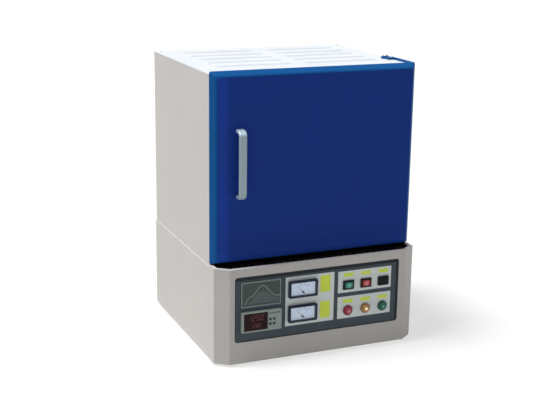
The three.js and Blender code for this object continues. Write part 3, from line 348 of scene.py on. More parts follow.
# Louvred sheets: the base's rear panel, the upper rear panel and the top. Each louvre is pressed
# up from the sheet over its slot, so its hood has rounded ends and a thin lip, and Geometry Nodes
# repeat it at the panel's pitch. The base's rear panel also has a stamped finger guard for the fan.
def plate_with_holes(name, outlines, low, high, side, material, edge=cut_edge):
    """A flat plate in a side's plane: the first outline is its rim and the others are holes."""
    drawing = bpy.data.curves.new(name, "CURVE")
    drawing.dimensions = "2D"
    drawing.fill_mode = "BOTH"
    drawing.extrude = (high - low) / 2 - edge
    drawing.bevel_depth = edge
    drawing.bevel_resolution = 1
    drawing.offset = -edge
    for outline in outlines:
        spline = drawing.splines.new("POLY")
        spline.points.add(len(outline) - 1)
        spline.points.foreach_set("co", [n for p in outline for n in (p[0], p[1], 0, 1)])
        spline.use_cyclic_u = True
    drawn = placed(name, drawing)
    mesh = as_mesh(drawn)
    corners = [side @ (v.co + Vector((0, 0, (low + high) / 2))) for v in mesh.vertices]
    faces = [tuple(p.vertices) for p in mesh.polygons]
    bpy.data.objects.remove(drawn)
    bpy.data.meshes.remove(mesh)
    return soften(mesh_object(name, corners, faces, material))


def rectangle(left, bottom, right, top):
    """Corners of a rectangle, anticlockwise."""
    return [(left, bottom), (right, bottom), (right, top), (left, top)]


def rounded_rectangle(width, height, radius, centre=(0, 0), steps=6):
    """Corners of a rectangle with arcs at its corners, anticlockwise."""
    points = []
    for quarter, (across, up) in enumerate(((1, 1), (-1, 1), (-1, -1), (1, -1))):
        middle = Vector((centre[0] + across * (width / 2 - radius), centre[1] + up * (height / 2 - radius)))
        for step in range(steps + 1):
            around = math.pi / 2 * (quarter + step / steps)
            points.append(middle + radius * Vector((math.cos(around), math.sin(around))))
    return points


def arc(radius, centre, start=0.0, end=2 * math.pi, count=32):
    """Points along an arc, without its end when it is a whole circle."""
    whole = abs(end - start - 2 * math.pi) < 1e-6
    step = (end - start) / (count if whole else count - 1)
    ways = [Vector((math.cos(start + step * i), math.sin(start + step * i))) for i in range(count)]
    return [Vector(centre) + radius * way for way in ways]


louvre_depth, louvre_height, louvre_wall, louvre_curl = 8 * MM, 3.2 * MM, 1.0 * MM, 0.8


def pressed_hood(length, material):
    """A hood over a slot that opens towards +Y, on a face that looks along +Z."""
    across, along = 10, 36
    corners, faces = [], []
    for lift in (0, -louvre_wall):
        for i in range(along + 1):
            x = -math.cos(math.pi * i / along) * length / 2
            over = max(0.0, (abs(x) - (length / 2 - louvre_depth)) / louvre_depth)
            crest = louvre_height * math.sqrt(max(0.0, 1 - over ** 2))
            for j in range(across + 1):
                rise = crest * math.sin(j / across * math.pi / 2) ** louvre_curl
                corners.append((x, louvre_depth * j / across, max(rise + lift, -sheet / 2)))
    row = across + 1
    layer = (along + 1) * row
    for start in (0, layer):
        for i in range(along):
            for j in range(across):
                a = start + i * row + j
                faces.append((a, a + row, a + row + 1, a + 1))
    for i in range(along):
        for j in (0, across):
            a = i * row + j
            faces.append((a, a + row, layer + a + row, layer + a))
    for j in range(across):
        for i in (0, along):
            a = i * row + j
            faces.append((a, a + 1, layer + a + 1, layer + a))
    return soften(mesh_object("louvre hood", corners, faces, material), angle=50)


def node_group(name, sockets):
    """A Geometry Nodes group with the named inputs, and its input sockets inside."""
    tree = bpy.data.node_groups.new(name, "GeometryNodeTree")
    for label, kind in sockets.items():
        tree.interface.new_socket(label, in_out="INPUT", socket_type=f"NodeSocket{kind}")
    tree.interface.new_socket("Geometry", in_out="OUTPUT", socket_type="NodeSocketGeometry")
    return tree, put(tree, "NodeGroupInput").outputs


def close_group(tree, geometry, material):
    """Ends a group: real copies that carry one material."""
    real = put(tree, "GeometryNodeRealizeInstances", {"Geometry": geometry})
    coat = put(tree, "GeometryNodeSetMaterial", {"Geometry": real, "Material": material})
    put(tree, "NodeGroupOutput", {"Geometry": coat})
    return tree


def grid_group():
    """Copies of a part in columns and rows."""
    tree, given = node_group("part on a grid", {
        "Part": "Object", "Material": "Material", "Columns": "Int", "Rows": "Int",
        "Column pitch": "Float", "Row pitch": "Float",
    })
    part = put(tree, "GeometryNodeObjectInfo", {"Object": given["Part"]})
    step = put(tree, "ShaderNodeCombineXYZ", {"X": given["Column pitch"]})
    rise = put(tree, "ShaderNodeCombineXYZ", {"Y": given["Row pitch"]})
    columns = put(tree, "GeometryNodeMeshLine", {"Count": given["Columns"], "Offset": step})
    rows = put(tree, "GeometryNodeMeshLine", {"Count": given["Rows"], "Offset": rise})
    line = put(tree, "GeometryNodeInstanceOnPoints", {
        "Points": columns, "Instance": part.outputs["Geometry"],
    })
    block = put(tree, "GeometryNodeInstanceOnPoints", {"Points": rows, "Instance": line})
    return close_group(tree, block, given["Material"])


def grown(name, tree, values, matrix=FACING_UP):
    """Runs a group with the named values and keeps its result as a plain piece in place."""
    holder = placed(name, bpy.data.meshes.new(name))
    modifier = holder.modifiers.new(name, "NODES")
    modifier.node_group = tree
    for item in tree.interface.items_tree:
        if item.in_out == "INPUT":
            modifier[item.identifier] = values[item.name]
    settle(holder)
    holder.data.transform(matrix)
    return soften(holder)


part_on_a_grid = grid_group()


def repeated(name, part, columns, rows, pitches, matrix, slot="zinc_steel"):
    """Copies of a part on a grid as one piece of the cabinet. The part itself is dropped."""
    copies = grown(name, part_on_a_grid, {
        "Part": part, "Material": part.data.materials[0], "Columns": columns, "Rows": rows,
        "Column pitch": pitches[0], "Row pitch": pitches[1],
    }, matrix)
    bpy.data.objects.remove(part)
    return fit(copies, "cabinet", slot)


def louvred_panel(node, face, rim, holes, side, slot, material, columns, rows, length, first, pitches):
    """A panel with pressed louvres from the first one's middle on. Those on a rear open downwards."""
    turned = 1 if side is FACING_UP else -1
    slots = []
    for i in range(columns):
        for j in range(rows):
            middle = (first[0] + i * pitches[0], first[1] + j * pitches[1] + turned * louvre_depth / 2)
            slots.append(rounded_rectangle(length - 2 * louvre_depth, louvre_depth - louvre_wall,
                                           2 * louvre_wall, middle))
    panel = plate_with_holes(f"{node}_sheet", [rim, *holes, *slots], face - sheet, face, side, material)
    fit(panel, "cabinet", slot, node)
    place = side @ Matrix.Translation((*first, face)) @ Matrix.Diagonal((turned, turned, 1, 1))
    repeated(f"{node}_louvres", pressed_hood(length, material), columns, rows,
             (pitches[0] * turned, pitches[1] * turned), place, slot)


def rear_rim(node):
    """A rear panel's rim as the rear shows it, without its louvres."""
    low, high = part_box(node)
    return rectangle(-high.x, low.z, -low.x, high.z)


def rear_middle(node):
    """A fitting's middle as the rear shows it."""
    low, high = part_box(node)
    return -(low.x + high.x) / 2, (low.z + high.z) / 2


fan_middle, guard_bar, guard_gap = rear_middle("fan_frame"), 5 * MM, 8 * MM
guard_radii, gland_hole = (6, 20, 34, 48), 10.2 * MM


def guard_slot(inner, start):
    """A quarter of a ring-shaped slot between two bars of the finger guard."""
    outline = []
    for radius, order in ((inner + guard_gap, 1), (inner, -1)):
        bar = math.asin(guard_bar / 2 / radius)
        outline += arc(radius, fan_middle, start + bar, start + math.pi / 2 - bar, 16)[::order]
    return outline


base_rear_holes = [
    guard_slot(inner * MM, math.pi * (0.25 + quarter / 2)) for inner in guard_radii for quarter in range(4)
]
base_rear_holes.append(arc(gland_hole, rear_middle("cable_gland")))
louvred_panel(
    "base_rear_panel", rear_edge + sheet, rear_rim("base_rear_panel"), base_rear_holes, FACING_REAR,
    "grey_paint", grey_powder_coat, columns=1, rows=4, length=130 * MM, first=(125 * MM, 106 * MM),
    pitches=(0, 28 * MM),
)
louvred_panel(
    "upper_rear_panel", rear_edge + sheet, rear_rim("upper_rear_panel"), [], FACING_REAR,
    "grey_paint", grey_powder_coat, columns=2, rows=6, length=120 * MM, first=(-90 * MM, 298 * MM),
    pitches=(180 * MM, 50 * MM),
)

top_powder_coat = coated("pale blue-grey powder coat on steel", "#DBE0E5", 0.5, 1.4, 0.3, specular=0.3)
top_low, top_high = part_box("top_panel")
top_face = top_low.z + sheet
post_low, post_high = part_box("hinge_post")
post_hole = arc(3.8 * MM, ((post_low.x + post_high.x) / 2, (post_low.y + post_high.y) / 2))
notch_x, notch_y = 244 * MM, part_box("upper_right_panel")[0].y
top_rim = [
    (top_low.x, top_low.y), (notch_x, top_low.y), (notch_x, notch_y), (top_high.x, notch_y),
    (top_high.x, top_high.y), (top_low.x, top_high.y),
]
louvred_panel(
    "top_panel", top_face, top_rim, [post_hole], FACING_UP, "white_paint", top_powder_coat,
    columns=2, rows=5, length=185 * MM, first=(-107.5 * MM, front_edge + 90 * MM),
    pitches=(215 * MM, 60 * MM),
)


# Screws: zinc-plated button heads with a hex socket hold the rear panels and the top to the
# folded flanges. The plating shows faint grain and a slight yellow cast.
def metal(name, colour, roughness, grain, grain_mm, depth=0.15, metallic=1.0):
    """Bare or plated metal whose grain, noise stretched by the given scales, shades it and its gloss."""
    material, tree, places = patterned(name)
    stretched = put(tree, "ShaderNodeMapping", {"Vector": places, "Scale": grain})
    streak = put(tree, "ShaderNodeTexNoise", {
        "Vector": stretched, "Scale": 1 / (grain_mm * MM), "Detail": 3.0,
    })
    tone = put(tree, "ShaderNodeMapRange", noise_span | {"Value": streak, "To Min": 0.88, "To Max": 1.0})
    base = put(tree, "ShaderNodeVectorMath", {0: linear(colour)[:3], "Scale": tone}, operation="SCALE")
    rub = put(tree, "ShaderNodeMapRange", noise_span | {
        "Value": streak, "To Min": roughness * 0.8, "To Max": roughness * 1.25,
    })
    bump = put(tree, "ShaderNodeBump", {"Height": streak, "Strength": depth, "Distance": peel_height / 2})
    return finished(material, {"Base Color": base, "Roughness": rub, "Normal": bump, "Metallic": metallic})


zinc_plate = metal("zinc-plated steel", "#B9B6A8", 0.35, (1, 1, 1), 1.5)
head_radius, head_height = 3.5 * MM, 1.9 * MM
head_shares = ((0, 0.35), (0.45, 0.35), (0.45, 1), (0.65, 0.9), (0.9, 0.55), (1, 0.1), (1, 0), (0, 0))
head_profile = [(head_radius * across, head_height * up) for across, up in head_shares]
rear_face = FACING_REAR @ Matrix.Translation((0, 0, rear_edge + sheet))

# Each row: name, face, first screw's place, rows of two, and pitches, in millimetres
screw_rows = (
    ("base_rear_screws", rear_face, (-240, 18), 3, (480, 95)),
    ("upper_rear_screws", rear_face, (-236, 242), 4, (472, 132)),
    ("top_screws", Matrix.Translation((0, 0, top_face)), (-238, 202), 1, (476, 0)),
)
for name, side, first, rows, pitches in screw_rows:
    start = side @ Matrix.Translation((first[0] * MM, first[1] * MM, 0))
    head = lathed("button head", head_profile, zinc_plate, count=24)
    repeated(name, head, 2, rows, (pitches[0] * MM, pitches[1] * MM), start)

# Rear fittings: a moulded fan behind the guard, a moulded gland for the mains lead, and inside the
# base a laminated transformer and a finned power controller, both screwed to the floor. The plastic
# is dull, the laminations show as fine lines, and the aluminium has a drawn grain.
black_plastic = coated("moulded black plastic", "#161417", 0.5, 0.8, 0.3, specular=0.15)
core_steel = metal("varnished core laminations", "#4A4540", 0.5, (0.05, 1, 0.05), 0.6, depth=0.4)
extruded_aluminium = metal("extruded aluminium", "#B4B7B9", 0.35, (1, 0.05, 1), 0.8)
rear_fittings = (
    ("fan_frame", "fan_housing", "cabinet", "black_plastic", black_plastic, 0.4 * MM),
    ("fan_rotor", "fan_wheel", "fan_rotor", "black_plastic", black_plastic, 0.2 * MM),
    ("cable_gland", "mains_lead_gland", "cabinet", "black_plastic", black_plastic, 0.5 * MM),
    ("transformer", "mains_transformer", "cabinet", "core_steel", core_steel, 0.8 * MM),
    ("power_controller", "finned_power_controller", "cabinet", "aluminium", extruded_aluminium, 0.4 * MM),
)
for node, name, body, slot, material, edge in rear_fittings:
    from_solid(node, name, body, slot, material, edge)

# Fascia: the base's front, one sheet folded at its two cut-off corners, with a flange along the
# top and a floor below. Its rounded window is cut through before painting, and a slotted strip
# sits sunk in its open top, where the cooling air goes in; its black paint is painted shade.
fascia_low, fascia_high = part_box("front_fascia")
panel_low, panel_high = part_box("control_panel")
corner_width, corner_depth, corner_fold = 30 * MM, 22.8 * MM, 4 * MM
window_margin, window_radius, flange_depth = 6 * MM, 7 * MM, 9 * MM
fascia_half = half_width - 0.01 * MM
fascia_fold = [
    (-fascia_half, fascia_high.y), (-fascia_half, fascia_low.y + corner_depth),
    (corner_width - fascia_half, fascia_low.y), (fascia_half - corner_width, fascia_low.y),
    (fascia_half, fascia_low.y + corner_depth), (fascia_half, fascia_high.y),
]


def combine(piece, other, operation):
    """An exact boolean of two pieces. The second one is dropped."""
    boolean = piece.modifiers.new("boolean", "BOOLEAN")
    boolean.operation = operation
    boolean.object = other
    boolean.solver = "EXACT"
    settle(piece)
    bpy.data.objects.remove(other)


def fascia_layer(outline, low, high):
    """A level slice of the fascia."""
    return extruded("front_fascia_sheet", outline, low, high, FACING_UP, grey_powder_coat, edge=0)


def mitred(points, distance):
    """A path moved to its left, with sharp corners."""
    places = [Vector(p) for p in points]
    lefts = [Vector((a.y - b.y, b.x - a.x)).normalized() for a, b in zip(places, places[1:])]
    moved = []
    for i, place in enumerate(places):
        before, after = lefts[max(i - 1, 0)], lefts[min(i, len(lefts) - 1)]
        moved.append(place + (before + after) * distance / (1 + before.dot(after)))
    return moved


fascia = fascia_layer(folded_outline(fascia_fold, corner_fold), fascia_low.z, fascia_high.z)
outer_line = [p for p, _ in fold_line(fascia_fold, corner_fold)]
flange_outline = [*outer_line, *reversed(mitred(fascia_fold, flange_depth))]
combine(fascia, fascia_layer(flange_outline, fascia_high.z - sheet, fascia_high.z), "UNION")
combine(fascia, fascia_layer(outer_line, fascia_low.z, fascia_low.z + sheet), "UNION")
panel_middle, panel_size = (panel_low + panel_high) / 2, panel_high - panel_low
panel_centre = (panel_middle.x, panel_middle.z)
window = rounded_rectangle(panel_size.x - 2 * window_margin, panel_size.z - 2 * window_margin,
                           window_radius, panel_centre)
combine(fascia, extruded("window", window, -fascia_low.y - flange_depth, -fascia_low.y + flange_depth,
                         FACING_FRONT, grey_powder_coat, edge=0), "DIFFERENCE")
fit(soften(fascia, edge=0.9 * MM, segments=3), "cabinet", "grey_paint", "front_fascia")

# Painted shade: the strip's black coat stands in for the shade under the door.
black_shade_coat = coated("black coat painted as shade", "#121115", 0.7, 1.2, 0.4, specular=0.1)
from_solid("intake_grille", "air_intake_strip", "cabinet", "black_paint", black_shade_coat, edge=0.2 * MM)

# Intake mat and edge tape: a black foam mat lies under the slotted strip and a black foam tape covers
# the deck's front edge behind it, both painted shade below the door. Foam is matt, full of small dark pores.
# Painted shade: black foam sheets darken the gap under the door and hide the base's inside.
black_shade_foam = coated("black foam painted as shade", "#0F0F10", 0.95, 1.1, 1.0, specular=0.05, mottle=0.3)
foam_gap, mat_half, mat_inset, mat_thickness = 0.1 * MM, 214 * MM, 4 * MM, 4 * MM
mat_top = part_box("intake_grille")[0].z - 2 * foam_gap
mat_outline = rectangle(-mat_half, fascia_low.y + mat_inset, mat_half, fascia_high.y - foam_gap)
fit(extruded("intake_filter_mat", mat_outline, mat_top - mat_thickness, mat_top, FACING_UP, black_shade_foam),
    "cabinet", "black_paint")
tape_half, tape_drop, tape_top = 246 * MM, 5 * MM, base_high.z + 8.4 * MM
tape_outline = rectangle(-tape_half, fascia_high.y + foam_gap, tape_half, front_edge - foam_gap / 2)
fit(extruded("deck_edge_tape", tape_outline, mat_top - tape_drop, tape_top, FACING_UP, black_shade_foam,
             edge=0.1 * MM), "cabinet", "black_paint")

# Control panel: a dark backing sheet behind the fascia's window that carries four plates. The
# backing has a matt film with a black rim of painted shadow, broader along its top and right. The
# plates are light printed film on rigid plastic with crisp edges.
backing_film = coated("dark grey matt film", "#4F5960", 0.6, 0.5, 0.15, specular=0.15)
plate_film = coated("light grey satin film on plastic", "#E6EEEC", 0.4, 0.9, 0.12, specular=0.3)
from_solid("control_panel", "control_panel_backing", "cabinet", "panel_paint", backing_film, edge=0.3 * MM)
# Painted shadow: a black band inside the window, broadest along its top and right.
shadow_rim_film = coated("black film painted as shadow", "#2A2F33", 0.6, 0.5, 0.15, specular=0.15)
shadow_left, shadow_right, shadow_top, shadow_bottom = 2.5 * MM, 6 * MM, 8.5 * MM, 1.5 * MM
rim_gap, rim_corner, film_height, film_edge = 0.4 * MM, 3 * MM, 0.15 * MM, 0.03 * MM
rim_width, rim_height = (size - 2 * window_margin - rim_gap for size in (panel_size.x, panel_size.z))
rim_middle = (panel_middle.x + (shadow_left - shadow_right) / 2, panel_middle.z + (shadow_bottom - shadow_top) / 2)
shadow_outlines = [
    rounded_rectangle(rim_width, rim_height, window_radius, panel_centre),
    rounded_rectangle(rim_width - shadow_left - shadow_right, rim_height - shadow_top - shadow_bottom, rim_corner,
                      rim_middle),
]
fit(plate_with_holes("panel_rim_film", shadow_outlines, -panel_low.y, -panel_low.y + film_height, FACING_FRONT,
                     shadow_rim_film, film_edge), "cabinet", "panel_paint")
for node in ("meter_plate", "button_plate", "lamp_plate"):
    from_solid(node, f"{node}_film", "cabinet", "plate_plastic", plate_film, edge=0.3 * MM)

# Programme plate: a dark green-grey film with a fine printed grid, a thin light frame and a raised
# light line that shows a firing programme, so the eye reads a chart.
plate_low, plate_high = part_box("curve_plate")
plate_middle, plate_size = (plate_low + plate_high) / 2, plate_high - plate_low
grid_pitch, grid_share, wear_width = 4 * MM, 0.3, 3.333 * MM


def grid_film(name, ground, lines, roughness):
    """A film printed with an upright grid of fine lines, a little worn."""
    material, tree, places = patterned(name)
    axes = put(tree, "ShaderNodeSeparateXYZ", {0: places}).outputs
    bands = []
    for axis in ("X", "Z"):
        turn = put(tree, "ShaderNodeMath", {0: axes[axis], 1: grid_pitch}, operation="DIVIDE")
        place = put(tree, "ShaderNodeMath", {0: turn}, operation="FRACT")
        band = put(tree, "ShaderNodeMath", {0: place, 1: grid_share}, operation="LESS_THAN")
        bands.append(band)
    printed = put(tree, "ShaderNodeMath", {0: bands[0], 1: bands[1]}, operation="MAXIMUM")
    worn = put(tree, "ShaderNodeTexNoise", {"Vector": places, "Scale": 1 / wear_width, "Detail": 2.0})
    cover = put(tree, "ShaderNodeMapRange", {"Value": worn, "To Min": 0.6, "To Max": 1.0})
    ink = put(tree, "ShaderNodeMath", {0: printed, 1: cover}, operation="MULTIPLY")
    base = put(tree, "ShaderNodeMix", {0: ink, 6: linear(ground), 7: linear(lines)}, data_type="RGBA")
    return finished(material, {
        "Base Color": base.outputs[2], "Roughness": roughness, "Specular IOR Level": 0.15,
    })


def front_piece(name, outline, low, high, slot, material, edge=0.0, body="cabinet"):
    """A flat piece that looks to the front, between two distances ahead of the origin."""
    return fit(extruded(name, outline, low, high, FACING_FRONT, material, edge), body, slot)


def stroke(points, width):
    """The outline of a line of even width through the given points."""
    places = [Vector(p) for p in points]
    left, right = [], []
    for i, place in enumerate(places):
        before = (place - places[i - 1]).normalized() if i else (places[1] - place).normalized()
        after = (places[i + 1] - place).normalized() if i < len(places) - 1 else before
        out = (Vector((-before.y, before.x)) + Vector((-after.y, after.x))).normalized()
        reach = width / 2 / max(0.5, out.dot(Vector((-before.y, before.x))))
        left.append(place + out * reach)
        right.append(place - out * reach)
    return left + right[::-1]


def on_plate(points):
    """Millimetres from the plate's middle as points of its drawing."""
    return [(plate_middle.x + x * MM, plate_middle.z + z * MM) for x, z in points]


chart_film = grid_film("printed dark film", "#37433F", "#6A7873", 0.4)
light_ink = coated("raised light grey ink", "#8E9D9B", 0.6, 0.3, 0.2, specular=0.2)
field_ink = coated("raised grey ink", "#626C6D", 0.6, 0.3, 0.2, specular=0.2)
from_solid("curve_plate", "programme_plate_film", "cabinet", "curve_foil", chart_film, edge=0.3 * MM)
chart_face, chart_margin, frame_line, programme_width = -plate_low.y, MM, 2.4 * MM, 2 * MM
frame_outline = [
    rounded_rectangle(plate_size.x - 2 * inset, plate_size.z - 2 * inset, chart_margin,
                      (plate_middle.x, plate_middle.z))
    for inset in (chart_margin, chart_margin + frame_line)
]
fit(plate_with_holes("programme_frame_line", frame_outline, chart_face, chart_face + film_height,
                     FACING_FRONT, light_ink, film_edge), "cabinet", "curve_foil")
programme = ((-39, -23), (-29, -6), (-20, -4), (-3, 17), (3, 18.5), (9, 16.5), (31, -7), (45, -9))
front_piece("programme_line", stroke(on_plate(programme), programme_width), chart_face,
            chart_face + film_height, "curve_foil", light_ink)
hold_field = ((-33, -23), (-18, -9), (-7, 4), (15, 4), (28, -11), (44, -13), (44, -23))
front_piece("programme_field", on_plate(hold_field), chart_face, chart_face + film_height / 2,
            "curve_foil", field_ink)

# Labels: bare yellow-green vinyl, one strip above each button and lamp and two larger stickers
# beside the meters. They are thin, with rounded corners, a slight sheen and a faint painted glow.
# Painted glow: the vinyl emits a little light of its own colour.
label_vinyl = coated("yellow-green vinyl with painted glow", "#D3E552", 0.4, 0.7, 0.2, specular=0.2, mottle=0.04,
                     glow=0.1)
vinyl_thickness, vinyl_edge = 0.2 * MM, 0.05 * MM
strip_width, strip_height, strip_corner = 25 * MM, 8.5 * MM, MM
button_label_drop, lamp_label_rise, button_pitch = 9.5 * MM, 10.5 * MM, 45 * MM


def middle_of(node):
    """A solid's middle as x and z."""
    low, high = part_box(node)
    return (low.x + high.x) / 2, (low.z + high.z) / 2


film_face = -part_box("button_plate")[0].y
strip_rows = (
    ("button_labels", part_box("button_plate")[1].z - button_label_drop),
    ("lamp_labels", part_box("alarm_lamp")[1].z + lamp_label_rise),
)
for name, height in strip_rows:
    strip = extruded("strip", rounded_rectangle(strip_width, strip_height, strip_corner), 0, vinyl_thickness,
                     FACING_UP, label_vinyl, vinyl_edge)
    first = Matrix.Translation((middle_of("start_button_housing")[0], height, film_face))
    repeated(name, strip, 3, 1, (button_pitch, 0), FACING_FRONT @ first, "plate_plastic")
sticker_height, sticker_corner, sticker_spread = 40 * MM, 2 * MM, 4 * MM
sticker = extruded("sticker", rounded_rectangle(strip_width, sticker_height, sticker_corner), 0,
                   vinyl_thickness, FACING_UP, label_vinyl, vinyl_edge)
sticker_x = (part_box("ammeter_case")[1].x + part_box("meter_plate")[1].x) / 2
lower_z = middle_of("voltmeter_case")[1]
sticker_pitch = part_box("ammeter_case")[0].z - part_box("voltmeter_case")[0].z + sticker_spread
repeated("meter_stickers", sticker, 1, 2, (0, sticker_pitch),
         FACING_FRONT @ Matrix.Translation((sticker_x, lower_z, film_face)), "plate_plastic")

# Temperature controller: a light grey moulded case with a smoked window, red segment digits, a row
# of small indicators and four rubber keys that press in. The case is satin, the keys are dull, and
# the window is dark and glossy, with the digits just bright enough to read.
silver_plastic = coated("moulded silver-grey plastic", "#A0A8A3", 0.4, 0.6, 0.15, specular=0.3)
key_rubber = coated("dark green key rubber", "#3E5652", 0.7, 0.4, 0.3, specular=0.3)
smoked_acrylic = coated("smoked acrylic", "#2A1517", 0.15, 4.0, 0.05, specular=0.1)
from_solid("controller_case", "temperature_controller_case", "cabinet", "silver_plastic", silver_plastic,
           edge=0.5 * MM)
for number in range(1, 5):
    from_solid(f"controller_key_{number}", f"controller_rubber_key_{number}", f"controller_key_{number}",
               "key_rubber", key_rubber, edge=0.5 * MM)
case_face, (case_x, case_z) = -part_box("controller_case")[0].y, middle_of("controller_case")
window_x, window_width, window_height, window_corner = case_x - 14.2 * MM, 57 * MM, 40.4 * MM, 0.8 * MM
window_floor, pane_face = case_face - 1.5 * MM, case_face - 0.4 * MM
pane_outline = rounded_rectangle(window_width, window_height, window_corner, (window_x, case_z))
front_piece("controller_window", pane_outline, window_floor, pane_face, "black_plastic", smoked_acrylic,
            edge=0.2 * MM)

segment_patch, segment_thickness = 4 * MM, 0.12 * MM
lit_segment, tree, places = patterned("red light-emitting segments")
segment_noise = put(tree, "ShaderNodeTexNoise", {"Vector": places, "Scale": 1 / segment_patch})
segment_light = put(tree, "ShaderNodeMapRange", {"Value": segment_noise, "To Min": 0.01, "To Max": 0.04})
finished(lit_segment, {
    "Base Color": linear("#5E2026"), "Roughness": 0.5, "Emission Color": linear("#E0303A"),
    "Emission Strength": segment_light,
})
SEGMENTS = {"0": "abcdef", "1": "bc", "2": "abged", "5": "afgcd", "8": "abcdefg"}
SPANS = {
    "a": ((0, 2), (1, 2)), "b": ((1, 1), (1, 2)), "c": ((1, 0), (1, 1)), "d": ((0, 0), (1, 0)),
    "e": ((0, 0), (0, 1)), "f": ((0, 1), (0, 2)), "g": ((0, 1), (1, 1)),
}
width_share, bar_share, pitch_share, lean_share, gap_share = 0.5, 0.12, 0.78, 0.1, 0.15


def segment_digits(name, text, height, start):
    """A row of seven-segment digits on the window, slightly leaning, as one piece."""
    width, bar = height * width_share, height * bar_share
    corners, faces = [], []
    for place, digit in enumerate(text):
        for letter in SEGMENTS[digit]:
            low, high = [Vector((x * width, z * height / 2)) for x, z in SPANS[letter]]
            way = (high - low).normalized()
            out, tip = Vector((-way.y, way.x)) * bar / 2, way * bar / 2
            a, b = low + way * bar * gap_share, high - way * bar * gap_share
            outline = [a, a + tip + out, b - tip + out, b, b - tip - out, a + tip - out]
            first = len(corners)
            for depth in (0, segment_thickness):
                for p in outline:
                    x = start[0] + place * height * pitch_share + p.x + p.y * lean_share
                    corners.append(FACING_FRONT @ Vector((x, start[1] + p.y, pane_face + depth)))
            back, front = range(first, first + 6), range(first + 6, first + 12)
            faces += [tuple(back), tuple(front)]
            faces += [(back[i - 1], back[i], front[i], front[i - 1]) for i in range(6)]
    return fit(soften(mesh_object(name, corners, faces, lit_segment)), "cabinet", "red_plastic")


# Each row: name, digits, height, and lower left corner from the window's middle, in millimetres
digit_rows = (
    ("measured_temperature_digits", "1250", 12.5, (-19, 2.5)),
    ("set_temperature_digits", "1280", 8.5, (-12.5, -14)),
)
for name, digits, height, (x, z) in digit_rows:
    segment_digits(name, digits, height * MM, (window_x + x * MM, case_z + z * MM))
indicator_width, indicator_height, indicator_corner = 4.2 * MM, 2.8 * MM, 0.4 * MM
indicator_rise, indicator_pitch = 0.3 * MM, 5.8 * MM
first_indicator = Matrix.Translation((case_x + 19.5 * MM, case_z + 16.5 * MM, case_face))
indicator = extruded("indicator", rounded_rectangle(indicator_width, indicator_height, indicator_corner), 0,
                     indicator_rise, FACING_UP, key_rubber, edge=0.08 * MM)
repeated("controller_indicators", indicator, 5, 1, (indicator_pitch, 0), FACING_FRONT @ first_indicator,
         "key_rubber")

# Panel meters: navy moulded cases, each with a pale dial card, a printed scale with numbers, a
# pointer that turns and a flat glass set into the bezel. The card is matt, with a painted glow that
# keeps it bright behind the glass, which shows only a faint film of dust.
navy_plastic = coated("moulded navy plastic", "#1B2A3C", 0.4, 0.6, 0.15, specular=0.15)
# Painted glow: the card emits a little light, so it stays bright behind the glass.
dial_card = coated("pale blue-white dial card with painted glow", "#D8E5F8", 0.8, 0.4, 0.2, specular=0.2, mottle=0.02,
                   glow=0.25)
dial_ink = coated("black dial ink", "#1E2430", 0.7, 0.3, 0.1, specular=0.2)
pointer_steel = coated("black enamelled pointer", "#15161A", 0.4, 0.3, 0.1)

dust_patch = 8.333 * MM
clear_glass, tree, places = patterned("clear meter glass")
glass_dust = put(tree, "ShaderNodeTexNoise", {"Vector": places, "Scale": 1 / dust_patch})
glass_film = put(tree, "ShaderNodeMapRange", {"Value": glass_dust, "To Min": 0.06, "To Max": 0.12})
finished(clear_glass, {"Base Color": linear("#DDE6F2"), "Roughness": 0.05, "Alpha": glass_film, "IOR": 1.45})


def tick_group():
    """Ticks that stand along an arc round the drawing's origin."""
    sizes = ("Radius", "Start", "Sweep", "Length", "Width", "Height")
    tree, given = node_group("ticks on an arc", {
        "Material": "Material", "Count": "Int", **dict.fromkeys(sizes, "Float"),
    })
    size = put(tree, "ShaderNodeCombineXYZ", {
        "X": given["Length"], "Y": given["Width"], "Z": given["Height"],
    })
    tick = put(tree, "GeometryNodeMeshCube", {"Size": size})
    line = put(tree, "GeometryNodeMeshLine", {"Count": given["Count"]})
    index = put(tree, "GeometryNodeInputIndex")
    last = put(tree, "ShaderNodeMath", {0: given["Count"], 1: 1.0}, operation="SUBTRACT")
    share = put(tree, "ShaderNodeMath", {0: index, 1: last}, operation="DIVIDE")
    angle = put(tree, "ShaderNodeMath", {0: share, 1: given["Sweep"], 2: given["Start"]},
                operation="MULTIPLY_ADD")
    across = put(tree, "ShaderNodeMath", {0: angle}, operation="COSINE")
    up = put(tree, "ShaderNodeMath", {0: angle}, operation="SINE")
    way = put(tree, "ShaderNodeCombineXYZ", {"X": across, "Y": up})
    place = put(tree, "ShaderNodeVectorMath", {0: way, "Scale": given["Radius"]}, operation="SCALE")
    ring = put(tree, "GeometryNodeSetPosition", {"Geometry": line, "Position": place})
    turn = put(tree, "ShaderNodeCombineXYZ", {"Z": angle})
    copies = put(tree, "GeometryNodeInstanceOnPoints", {"Points": ring, "Instance": tick, "Rotation": turn})
    return close_group(tree, copies, given["Material"])


ticks_on_an_arc = tick_group()
number_size, number_radius, number_thickness = 3.4 * MM, 21.6 * MM, 0.04 * MM


def flat_number(text, matrix):
    """A generic scale number as thin raised ink."""
    drawing = bpy.data.curves.new("number", "FONT")
    drawing.body = text
    drawing.size = number_size
    drawing.align_x = "CENTER"
    drawing.align_y = "CENTER"
    drawing.extrude = number_thickness
    drawing.materials.append(dial_ink)
    holder = placed("number", drawing)
    mesh = as_mesh(holder)
    mesh.transform(matrix)
    bpy.data.objects.remove(holder)
    return mesh


def joined(name, meshes, material):
    """Several meshes as one piece."""
    work = bmesh.new()
    for mesh in meshes:
        work.from_mesh(mesh)
    whole = bpy.data.meshes.new(name)
    work.to_mesh(whole)
    work.free()
    whole.materials.append(material)
    return placed(name, whole)


